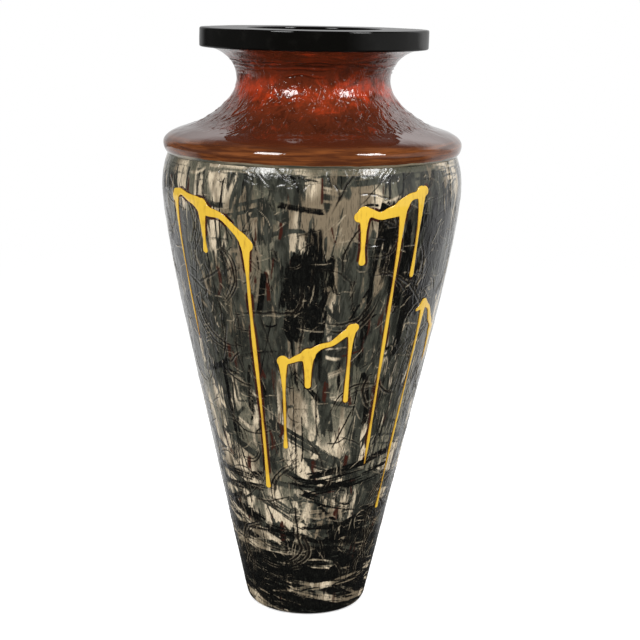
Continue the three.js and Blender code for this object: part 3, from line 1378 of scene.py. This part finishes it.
def assign(piece: bpy.types.Object, outside: np.ndarray, *materials: bpy.types.Material,
           lowest: float = 8 * MM) -> None:
    """Gives each face of a piece its material.

    Args:
        piece: the object.
        outside: for each vertex, whether it is outside.
        materials: for the outside, for the rest and, on the slab, for the foot's underside.
        lowest: faces below this height that aren't outside are the foot's underside.
    """
    mesh = piece.data
    for material in materials:
        mesh.materials.append(material)
    corner = np.empty(len(mesh.loops), np.int32)
    mesh.loops.foreach_get("vertex_index", corner)
    starts = np.empty(len(mesh.polygons), np.int32)
    mesh.polygons.foreach_get("loop_start", starts)
    centres = np.empty(len(mesh.polygons) * 3, np.float32)
    mesh.polygons.foreach_get("center", centres)
    shown = np.minimum.reduceat(outside[corner].astype(int), starts)
    under = centres.reshape(-1, 3)[:, 2] < lowest
    index = np.where(shown == 1, 0, np.where(under, 2, 1)).astype(np.int32)
    mesh.polygons.foreach_set("material_index", index)
    mesh.update()


def settle(piece: bpy.types.Object, slot: str, *nodes: str) -> None:
    """Attaches a finished piece to the root, hides the model's nodes that it stands for and logs its size.

    Args:
        piece: the object.
        slot: not used.
        nodes: the model's nodes that it stands for, if it stands for any.
    """
    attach(piece, "root")
    if nodes:
        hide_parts(*nodes)
    LOG.info("%s: %d vertices, %d faces", piece.name, len(piece.data.vertices), len(piece.data.polygons))


@dataclass
class Finishes:
    """Every material of the vase."""

    body: bpy.types.Material = field(default_factory=lambda: PaintedBody().build())
    neck: bpy.types.Material = field(default_factory=lambda: RedNeck().build())
    roll: bpy.types.Material = field(default_factory=lambda: BrownRoll().build())
    rim: bpy.types.Material = field(default_factory=lambda: BlackRim().build())
    yellow: bpy.types.Material = field(default_factory=lambda: YellowGlaze().build())
    inside: bpy.types.Material = field(
        default_factory=lambda: PlainGlaze("inside_glaze", (0.022, 0.013, 0.008), 0.35, 0.8).build())
    clay: bpy.types.Material = field(
        default_factory=lambda: PlainGlaze("bare_clay", (0.32, 0.24, 0.16), 0.85, 0.0).build())


@dataclass
class Body:
    """The four wall sections and the slab under them, painted as one surface."""

    form: VaseForm
    canvas: Canvas
    finishes: Finishes
    finest: float = 1.25 * MM
    most_faces: int = 80_000
    inner_spacing: float = 12 * MM
    ring_inside: float = 66 * MM
    recess: float = 6 * MM
    floor: float = 22 * MM
    floor_middle: float = 40 * MM
    coat_depth: float = 0.4 * MM
    relief_limits: Pair = (-1.2 * MM, 1.1 * MM)
    calm_height: float = 12 * MM
    walls: tuple[str, ...] = ("foot_wall", "lower_wall", "middle_wall", "belly_wall")

    def stretch(self, low: float, high: float, spacing: float) -> np.ndarray:
        """The outside of the body between two heights.

        Args:
            low: the lower height.
            high: the upper height.
            spacing: about how far apart its points are.

        Returns:
            (radius, height) rows.
        """
        outline = self.form.body
        between = (outline[:, 1] > low) & (outline[:, 1] < high)
        heights = np.concatenate([[low], outline[between, 1], [high]])
        return resample(np.column_stack([self.form.radius_at(heights), heights]), spacing)

    def section(self, name: str) -> bpy.types.Object:
        """One wall section between its two lap joints.

        Args:
            name: the model's node that it stands for.

        Returns:
            The turned piece.
        """
        form = self.form
        low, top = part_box(name)[0].z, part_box(name)[1].z
        high = top - form.tongue
        turn = FULL_TURN * form.radius_at(np.array([low, high])).max()
        spacing = max(self.finest, math.sqrt((high - low) * turn / self.most_faces))
        outer = self.stretch(low, high, spacing)
        lap = low + form.tongue + form.slip
        inner = self.stretch(lap, high, self.inner_spacing) - [form.wall, 0]
        upper = outer[-1, 0]
        lower = outer[0, 0] - form.wall / 2 + form.slip
        profile = np.vstack([
            outer,
            [(upper - form.wall / 2, high), (upper - form.wall / 2, top), (upper - form.wall, top)],
            inner[::-1],
            [(lower, lap), (lower, low)],
            outer[:1],
        ])
        return turned(f"{name}_glazed", profile, int(turn / spacing))

    def slab(self) -> bpy.types.Object:
        """The floor of the vase with its foot ring and the lower edge of the body.

        Returns:
            The turned piece.
        """
        form, ring, recess = self.form, self.ring_inside, self.recess
        low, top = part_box("base_slab")[0].z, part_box("base_slab")[1].z
        high = top - form.tongue
        outer = self.stretch(low, high, self.finest)
        edge = outer[-1, 0]
        middle, inside = edge - form.wall / 2, edge - form.wall
        profile = np.vstack([
            [(0, recess), (ring / 2, recess), (ring - recess / 2, recess), (ring, 0)],
            outer,
            [(middle, high), (middle, top), (inside, top), (inside, self.floor)],
            [(self.floor_middle, self.floor), (0, self.floor)],
        ])
        return turned("base_slab_glazed", profile, int(FULL_TURN * edge / self.finest))

    def dress(self, piece: bpy.types.Object) -> None:
        """Gives a section its paint attributes, its relief and its materials.

        Args:
            piece: the turned section.
        """
        points = coordinates(piece)
        radius, angle, height = polar(points)
        outside = np.abs(radius - self.form.radius_at(height)) < self.coat_depth
        values = {layer: self.canvas.sample(layer, angle, height) * outside for layer in Layer}
        lift = np.clip(values[Layer.RELIEF], *self.relief_limits) * smooth_step(0, self.calm_height, height)
        spread(points, outside * (lift - GLAZE))
        set_coordinates(piece, points)
        paint = (Layer.WASH, Layer.CHARCOAL, Layer.BLACK, Layer.BROWN)
        marks = (Layer.LINE, Layer.SCRATCH_AND_LIP_HIGHLIGHT, Layer.TONE)
        set_attribute(piece, "paint", [values[layer] for layer in paint])
        set_attribute(piece, "marks", [values[layer] for layer in marks] + [outside.astype(float)])
        assign(piece, outside, self.finishes.body, self.finishes.inside, self.finishes.clay)

    def build(self) -> None:
        """Makes the five pieces."""
        pieces = [(self.slab(), "foot", "base_slab")]
        pieces += [(self.section(name), "body", name) for name in self.walls]
        for piece, slot, node in pieces:
            self.dress(piece)
            shade(piece)
            settle(piece, slot, node)


@dataclass(frozen=True)
class Drag:
    """A short ridge or groove in the coat: the place of its middle, its lean and its half sizes."""

    angle: float
    level: float
    lean: float
    length: float
    width: float
    height: float

    def lift(self, across: np.ndarray, along: np.ndarray) -> np.ndarray:
        """How far it lifts places at these distances from its middle."""
        u, v = leaned(across, along, self.lean)
        return self.height * np.exp(-((u / self.width) ** 2) - (v / self.length) ** 2)


@dataclass
class Film:
    """The wrinkles in the coat over roll and neck: folds under the rim and drag marks on the neck's foot."""

    form: VaseForm
    folds: int = 5
    fold_levels: Pair = (12 * MM, 36 * MM)
    fold_width: float = 1.8 * MM
    fold_height: float = 2.4 * MM
    marks: int = 1500
    limits: Pair = (-1.0 * MM, 1.2 * MM)
    full_lift: float = 2.4 * MM
    grain: Grain = field(default_factory=lambda: Grain(np.random.default_rng(SEED + 3)))

    @cached_property
    def levels(self) -> np.ndarray:
        """How far up the outside the crease and the waist are."""
        return self.form.climb(np.array([self.form.upper[1][0, 0], self.form.waist_radius]),
                               np.array([self.form.crease_level, self.form.waist_level]))

    def wrinkles(self, turn: np.ndarray, run: np.ndarray) -> np.ndarray:
        """The broad unevenness of the coat and the folds that run round under the rim.

        Args:
            turn: places round the axis, as shares of a turn.
            run: places up the outside.

        Returns:
            How far each place is lifted.
        """
        lift = sum(
            depth * MM * (self.grain(turn * cells, run / (tall * MM) + cells, cells) - 0.5)
            for depth, cells, tall in ((0.9, 24, 22), (0.6, 70, 9))
        )
        for level in np.linspace(*self.fold_levels, self.folds) + self.levels[1]:
            here = np.full_like(turn, level / (8 * MM))
            wave = 16 * self.grain(turn * 7, here, 7) + 5 * self.grain(turn * 31, here, 31) - 10
            strength = smooth_step(0.3, 0.6, self.grain(turn * 13, here + 50, 13))
            away = (run - level - wave * MM) / self.fold_width
            lift += self.fold_height * strength * away * np.exp(-(away**2))
        return lift

    def drags(self) -> list[Drag]:
        """Draws the drag marks, most of them on the neck's foot and a few above it.

        Returns:
            The marks.
        """
        rng = np.random.default_rng(SEED + 1)
        crease, waist = self.levels
        drags = []
        for _ in range(self.marks):
            angle = rng.uniform(-math.pi, math.pi)
            levels = [rng.uniform(crease - 14 * MM, waist - 22 * MM), rng.uniform(crease, waist + 8 * MM)]
            level = rng.choice(levels, p=[0.75, 0.25])
            longest = 30 if rng.random() < 0.15 else 11
            lean, length, width = rng.normal(0, 0.5), rng.uniform(3, longest) * MM, rng.uniform(0.9, 1.8) * MM
            height = rng.uniform(-0.7, 1.0) * MM * (1 if level < waist - 25 * MM else 0.45)
            drags.append(Drag(angle, level, lean, length, width, height))
        return drags

    def dress(self, piece: bpy.types.Object, shown: np.ndarray) -> None:
        """Lifts the outside of a piece and tells its material how high the coat stands.

        Args:
            piece: the turned piece.
            shown: which of its vertices are outside.
        """
        points = coordinates(piece)
        radius, angle, height = polar(points)
        run = self.form.climb(radius, height)
        lift = self.wrinkles((angle + math.pi) / FULL_TURN, run)
        for drag in self.drags():
            away = np.mod(angle - drag.angle + math.pi, FULL_TURN) - math.pi
            near = (np.abs(away) < 0.2) & (np.abs(run - drag.level) < 30 * MM) & shown
            lift[near] += drag.lift(away[near] * radius[near], run[near] - drag.level)
        lift = np.clip(lift, *self.limits) * shown
        crease, waist = self.levels
        steep = smooth_step(crease - 22 * MM, crease, run)
        spread(points, lift * (0.4 + 0.6 * steep))
        points[:, 2] += 0.6 * lift * np.where(run < waist - 30 * MM, 1 - 0.5 * steep, 0)
        set_coordinates(piece, points)
        set_film(piece, np.clip(lift / self.full_lift + 0.5, 0, 1))


@dataclass
class Shoulder:
    """The roll under the neck."""

    form: VaseForm
    finishes: Finishes
    film: Film
    spacing: float = 1.6 * MM
    steps: int = 760
    coat_depth: float = 1.5 * MM

    @cached_property
    def outer(self) -> np.ndarray:
        """The outside of the roll under its glaze, as (radius, height) rows."""
        return resample(self.form.upper[0] - [GLAZE, 0], self.spacing)

    def profile(self) -> np.ndarray:
        """Closed outline of the roll, with the neck's seat and the lap over the body.

        Returns:
            (radius, height) rows.
        """
        form, outer = self.form, self.outer
        seat = form.crease_level - form.seat_depth
        seat_inside = outer[-1, 0] - form.seat_width + GLAZE
        inside = outer[0, 0] - form.wall + GLAZE
        underside = seat - form.wall + form.seat_depth / 2
        lap = form.groove_level + form.tongue + form.slip
        lap_inside = outer[0, 0] - form.wall / 2 + form.slip + GLAZE
        return np.vstack([
            outer,
            [(outer[-1, 0], seat), (seat_inside, seat)],
            bezier([(seat_inside, underside), (inside, underside), (inside, lap)], 8),
            [(lap_inside, lap), (lap_inside, form.groove_level)],
            outer[:1],
        ])

    def build(self) -> None:
        """Makes the piece."""
        piece = turned("shoulder_ring_glazed", self.profile(), self.steps)
        radius, _, height = polar(coordinates(piece))
        outside = radius > np.interp(height, self.outer[:, 1], self.outer[:, 0]) - self.coat_depth
        above = (height > self.form.groove_level + 2 * MM) & (radius > self.outer[-1, 0] - 0.5 * MM)
        self.film.dress(piece, outside & above)
        assign(piece, outside, self.finishes.roll, self.finishes.inside)
        shade(piece)
        settle(piece, "roll", "shoulder_ring")


@dataclass
class Neck:
    """The waisted neck."""

    form: VaseForm
    finishes: Finishes
    film: Film
    spacing: float = 1.4 * MM
    steps: int = 620
    spigot_depth: float = 12 * MM
    tongue_width: float = 8 * MM
    coat_depth: float = 2.2 * MM

    def profile(self) -> np.ndarray:
        """Closed outline of the neck, with its spigot and its tongue.

        Returns:
            (radius, height) rows.
        """
        form = self.form
        outer = resample(form.upper[1] - [GLAZE, 0], self.spacing)
        seat = form.crease_level - form.seat_depth
        bottom = seat - self.spigot_depth
        spigot = outer[0, 0] - form.seat_width
        top = form.rim_level + form.tongue
        tongue = outer[-1, 0] - form.rim_seat_width
        waist = form.waist_radius - form.wall
        middle = (bottom + form.waist_level) / 2
        foot = bezier([(spigot - form.wall, bottom), (waist, middle), (waist, form.waist_level)], 7)
        collar = flare(waist, tongue - self.tongue_width, form.waist_level, top, 7)
        return np.vstack([
            outer,
            [(tongue, form.rim_level), (tongue, top)],
            np.vstack([foot, collar])[::-1],
            [(spigot, bottom), (spigot, seat), (outer[0, 0], seat)],
            outer[:1],
        ])

    def build(self) -> None:
        """Makes the piece."""
        piece = turned("neck_glazed", self.profile(), self.steps)
        radius, _, height = polar(coordinates(piece))
        outline = self.form.upper[1]
        outside = np.abs(radius - np.interp(height, outline[:, 1], outline[:, 0])) < self.coat_depth
        self.film.dress(piece, outside & (height > outline[0, 1] - 0.2 * MM))
        assign(piece, outside, self.finishes.neck, self.finishes.inside)
        shade(piece)
        settle(piece, "neck", "neck")


@dataclass
class Rim:
    """The thick flat rim round the mouth."""

    form: VaseForm
    finishes: Finishes
    mouth: float = 100 * MM
    edge: float = 3 * MM
    inset: float = 0.8 * MM
    steps: int = 480

    @cached_property
    def radius(self) -> float:
        """The outer radius, short of what the unevenness may add."""
        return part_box("rim")[1].x - self.inset

    def profile(self) -> np.ndarray:
        """Closed outline of the rim, with the seat that drops over the neck's tongue.

        Returns:
            (radius, height) rows.
        """
        form, radius, mouth, edge = self.form, self.radius, self.mouth, self.edge
        low, top = form.rim_level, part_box("rim")[1].z - self.inset / 2
        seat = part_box("rim")[1].x - form.rim_overhang - form.rim_seat_width + form.slip
        under = low + form.tongue + form.slip
        return np.vstack([
            [(mouth, under), (seat, under), (seat, low)],
            resample(np.array([(seat + MM, low), (radius - edge, low)]), 4 * MM),
            bezier([(radius - edge, low), (radius, low), (radius, low + edge)], 6),
            resample(np.array([(radius, low + edge), (radius, top - edge)]), 2 * MM)[1:-1],
            bezier([(radius, top - edge), (radius, top), (radius - edge, top)], 6),
            resample(np.array([(radius - edge, top), (mouth + edge, top)]), 4 * MM)[1:-1],
            bezier([(mouth + edge, top), (mouth, top), (mouth, top - edge)], 6),
            [(mouth, under)],
        ])

    def build(self) -> None:
        """Makes the piece, with a little unevenness in its side and its top."""
        piece = turned("rim_glazed", self.profile(), self.steps)
        points = coordinates(piece)
        radius, angle, height = polar(points)
        turn = (angle + math.pi) / FULL_TURN
        grain = Grain(np.random.default_rng(SEED + 4))
        wave = sum(
            share * (grain(turn * cells, height / (tall * MM) + cells, cells) - 0.5)
            for share, cells, tall in ((1.0, 17, 60), (0.6, 48, 14))
        )
        side = smooth_step(self.radius - 9 * MM, self.radius - 5 * MM, radius)
        top = smooth_step(self.mouth + 2 * MM, self.mouth + 9 * MM, radius)
        spread(points, self.inset * wave * side)
        points[:, 2] += self.inset / 2 * wave * top
        set_coordinates(piece, points)
        piece.data.materials.append(self.finishes.rim)
        shade(piece)
        settle(piece, "rim", "rim")


@dataclass
class GlazeRuns:
    """Raised yellow runs, poured on the finished body."""

    form: VaseForm
    finishes: Finishes
    voxel: float = 1.1 * MM
    height: float = 1.5 * MM
    fullness: float = 0.62
    sunk: float = 0.12
    drop_size: float = 1.02

    @cached_property
    def slant(self) -> tuple[np.ndarray, np.ndarray, np.ndarray]:
        """Distances up the outside of the body, with the radius and height at each."""
        return lengths(self.form.body), self.form.body[:, 0], self.form.body[:, 1]

    def middle(self, pour: Pour) -> float:
        """The angle that the pour is laid flat about."""
        return float(pour.strands[0][:, 0].mean())

    def flat(self, strand: np.ndarray, pour: Pour) -> list[Vector]:
        """Lays places on the vase flat without changing lengths.

        Args:
            strand: rows of (angle, height, half width).
            pour: the pour that it belongs to.

        Returns:
            The places, with x round the vase from the pour's middle and y up it.
        """
        run, radii, heights = self.slant
        along = np.interp(strand[:, 1], heights, run)
        radius = np.interp(strand[:, 1], heights, radii)
        return [Vector((x, y, 0)) for x, y in zip((strand[:, 0] - self.middle(pour)) * radius, along)]

    def tube(self, points: list[Vector], radii: np.ndarray) -> bpy.types.Object:
        """A smooth tube through points laid flat.

        Args:
            points: places on its middle line.
            radii: its radius at each.

        Returns:
            The tube as a mesh object.
        """
        curve = bpy.data.curves.new("run", "CURVE")
        curve.dimensions = "3D"
        curve.bevel_depth = 1.0
        curve.bevel_resolution = 3
        curve.resolution_u = 6
        curve.use_fill_caps = True
        spline = curve.splines.new("BEZIER")
        spline.bezier_points.add(len(points) - 1)
        for knot, point, radius in zip(spline.bezier_points, points, radii):
            knot.co = point
            knot.radius = radius
            knot.handle_left_type = knot.handle_right_type = "AUTO"
        tube = bpy.data.objects.new("run", curve)
        bpy.context.scene.collection.objects.link(tube)
        pick(tube)
        bpy.ops.object.convert(target="MESH")
        return bpy.context.object

    def drop(self, centre: Vector, radius: float) -> bpy.types.Object:
        """A round drop that closes the end of a tube.

        Args:
            centre: the end's place.
            radius: the tube's radius there.

        Returns:
            The drop as a mesh object.
        """
        bpy.ops.object.select_all(action="DESELECT")
        bpy.ops.mesh.primitive_uv_sphere_add(
            segments=24, ring_count=12, radius=radius * self.drop_size, location=centre)
        return bpy.context.object

    def poured(self, pour: Pour) -> bpy.types.Object:
        """Lays a trail and its drips flat and melts them into one body.

        Args:
            pour: the trail and its drips.

        Returns:
            The flat body, with x round the vase from the pour's middle and y up it.
        """
        parts = []
        for strand in pour.strands:
            flat = self.flat(strand, pour)
            parts.append(self.tube(flat, strand[:, 2]))
            parts += [self.drop(flat[end], strand[end, 2]) for end in (0, -1)]
        pick(*parts)
        bpy.ops.object.join()
        piece = bpy.context.object
        bpy.ops.object.transform_apply(location=True, rotation=True, scale=True)
        melt = piece.modifiers.new("melt", "REMESH")
        melt.mode = "VOXEL"
        melt.voxel_size = self.voxel
        bpy.ops.object.modifier_apply(modifier=melt.name)
        soften = piece.modifiers.new("soften", "SMOOTH")
        soften.factor = 0.5
        soften.iterations = 6
        bpy.ops.object.modifier_apply(modifier=soften.name)
        return piece

    def wrap(self, piece: bpy.types.Object, pour: Pour) -> None:
        """Bends the flat body round the vase and flattens its top.

        Args:
            piece: the flat body.
            pour: the pour that it was made for.
        """
        run, radii, heights = self.slant
        x, y, z = coordinates(piece).T
        radius = np.interp(y, run, radii)
        angle = self.middle(pour) + x / radius
        raised = self.height * np.tanh(np.maximum(z, 0) * self.fullness / self.height)
        radius = radius - GLAZE + raised + np.minimum(z, 0) * self.sunk
        radius = np.minimum(radius, self.form.belly_radius)
        places = [radius * np.cos(angle), radius * np.sin(angle), np.interp(y, run, heights)]
        set_coordinates(piece, np.column_stack(places))
        set_film(piece, raised / self.height)

    def build(self) -> None:
        """Makes every pour."""
        for pour in POURS:
            piece = self.poured(pour)
            piece.name = piece.data.name = f"yellow_run_{pour.name}"
            self.wrap(piece, pour)
            piece.data.materials.clear()
            piece.data.materials.append(self.finishes.yellow)
            shade(piece, 60)
            settle(piece, "body")


@dataclass(frozen=True)
class Softbox:
    """A rectangular lamp that faces the vase, so many degrees to the right of the camera's side."""

    name: str
    azimuth: float
    width: float
    watts: float
    height: float = 0.9
    distance: float = 2.4
    elevation: float = 36
    aim_height: float = 0.6

    def build(self) -> None:
        """Makes the lamp."""
        data = bpy.data.lights.new(self.name, "AREA")
        data.shape = "RECTANGLE"
        data.size, data.size_y = self.width, self.height
        data.energy = self.watts
        lamp = bpy.data.objects.new(self.name, data)
        turn, rise = math.radians(self.azimuth), math.radians(self.elevation)
        away = Vector((math.sin(turn) * math.cos(rise), -math.cos(turn) * math.cos(rise), math.sin(rise)))
        lamp.matrix_world = (Matrix.Translation(Vector((0, 0, self.aim_height)) + away * self.distance)
                             @ away.to_track_quat("Z", "Y").to_matrix().to_4x4())
        bpy.context.scene.collection.objects.link(lamp)


SOFTBOXES = (
    Softbox("softbox_left", -34, 0.7, 42),
    Softbox("softbox_right_0", 43.5, 0.31, 19),
    Softbox("softbox_right_1", 52.5, 0.31, 19),
)


@dataclass
class Studio:
    """Camera, softboxes, white surround and floor."""

    distance: float = 2.235
    eye_level: float = 0.9507
    pitch: float = 12.54
    roll: float = 0.97
    yaw: float = 0.404
    focal_pixels: float = 1469.3
    photo_width: int = 640
    sensor: float = 36.0
    fill: float = 0.42
    dark_front: float = 0.03
    left_reflector: float = 0.12
    right_reflector: float = 0.7

    def camera(self) -> None:
        """Sets the camera at the photograph's place."""
        data = bpy.data.cameras.new("camera")
        data.sensor_width = self.sensor
        data.lens = self.focal_pixels / self.photo_width * self.sensor
        camera = bpy.data.objects.new("camera", data)
        turn = (Matrix.Rotation(math.radians(-self.yaw), 4, "Z")
                @ Matrix.Rotation(math.radians(90 - self.pitch), 4, "X")
                @ Matrix.Rotation(math.radians(self.roll), 4, "Z"))
        camera.matrix_world = Matrix.Translation((0, -self.distance, self.eye_level)) @ turn
        bpy.context.scene.collection.objects.link(camera)
        bpy.context.scene.camera = camera

    def surround(self) -> None:
        """White behind and beside the vase, dark where the camera stands, plain for fill."""
        bench = NodeBench("surround", world=True)
        path = bench.node("ShaderNodeLightPath").outputs
        x, y, z = bench.xyz()
        behind = bench.calc("MULTIPLY_ADD", y, 0.993, bench.calc("MULTIPLY", x, 0.122))
        behind = bench.calc("MULTIPLY_ADD", z, 0.5, behind)
        bright = bench.calc("MULTIPLY_ADD", x, 0.5, 0.9)
        bright = bench.calc("MULTIPLY", bright, bench.step(z, 0.3, 0.5, 0.85, 1.45))
        bright = bench.calc("MULTIPLY", bright, bench.step(z, 0.52, 0.72, 1, 0.06))
        seen = bench.calc("MULTIPLY_ADD", bench.step(behind, 0.60, 0.86), bright, self.dark_front)
        beside = bench.calc("ADD", bench.step(x, 0.5, 0.95, 0, self.right_reflector),
                            bench.step(x, -0.5, -0.95, 0, self.left_reflector))
        seen = bench.calc("MULTIPLY_ADD", beside, bench.step(z, 0.5, 0.25), seen)
        strength = bench.node("ShaderNodeMix", {0: path["Is Glossy Ray"], 2: self.fill, 3: seen})
        shown = bench.node("ShaderNodeMix", {0: path["Is Camera Ray"], 2: strength.outputs[0], 3: 1.0})
        bpy.context.scene.world = bench.close(
            bench.node("ShaderNodeBackground", {"Color": (1, 1, 1, 1), "Strength": shown.outputs[0]}))

    def floor(self) -> None:
        """A pale floor that keeps the shadow of the foot, and mirrors dark towards the camera."""
        bpy.ops.object.select_all(action="DESELECT")
        bpy.ops.mesh.primitive_plane_add(size=8, location=(0, 0, 0))
        ground = bpy.context.object
        ground.name = "floor"
        bench = NodeBench("floor")
        path = bench.node("ShaderNodeLightPath").outputs
        away = bench.node("ShaderNodeVectorMath", {0: bench.coordinates}, operation="LENGTH").outputs["Value"]
        near = bench.mix(bench.step(away, 1.0, 3.4), (0.9, 0.9, 0.9), (0, 0, 0))
        matt = bench.node("ShaderNodeBsdfDiffuse", {"Color": near})
        glow = bench.node("ShaderNodeEmission", {"Strength": bench.step(away, 1.0, 3.4, 0.55, 1)})
        lit = bench.node("ShaderNodeAddShader", {0: matt.outputs[0], 1: glow.outputs[0]})
        level = bench.step(bench.xyz()[1], 0.0, 0.6, self.dark_front, 0.9)
        mirrored = bench.node("ShaderNodeEmission", {"Strength": level})
        ground.data.materials.append(bench.close(bench.node("ShaderNodeMixShader", {
            0: path["Is Glossy Ray"], 1: lit.outputs[0], 2: mirrored.outputs[0]})))

    def build(self) -> None:
        """Makes all of it."""
        self.camera()
        for softbox in SOFTBOXES:
            softbox.build()
        self.surround()
        self.floor()
        bpy.context.scene.view_settings.view_transform = "Standard"


def main() -> None:
    """Builds the vase piece by piece and its studio."""
    logging.basicConfig(level=logging.INFO, format="%(name)s: %(message)s")
    form = VaseForm()
    finishes = Finishes()
    canvas = BodyPainting(form).paint()
    Body(form, canvas, finishes).build()
    film = Film(form)
    Shoulder(form, finishes, film).build()
    Neck(form, finishes, film).build()
    Rim(form, finishes).build()
    GlazeRuns(form, finishes).build()
    Studio().build()


if __name__ == "__main__":
    main()
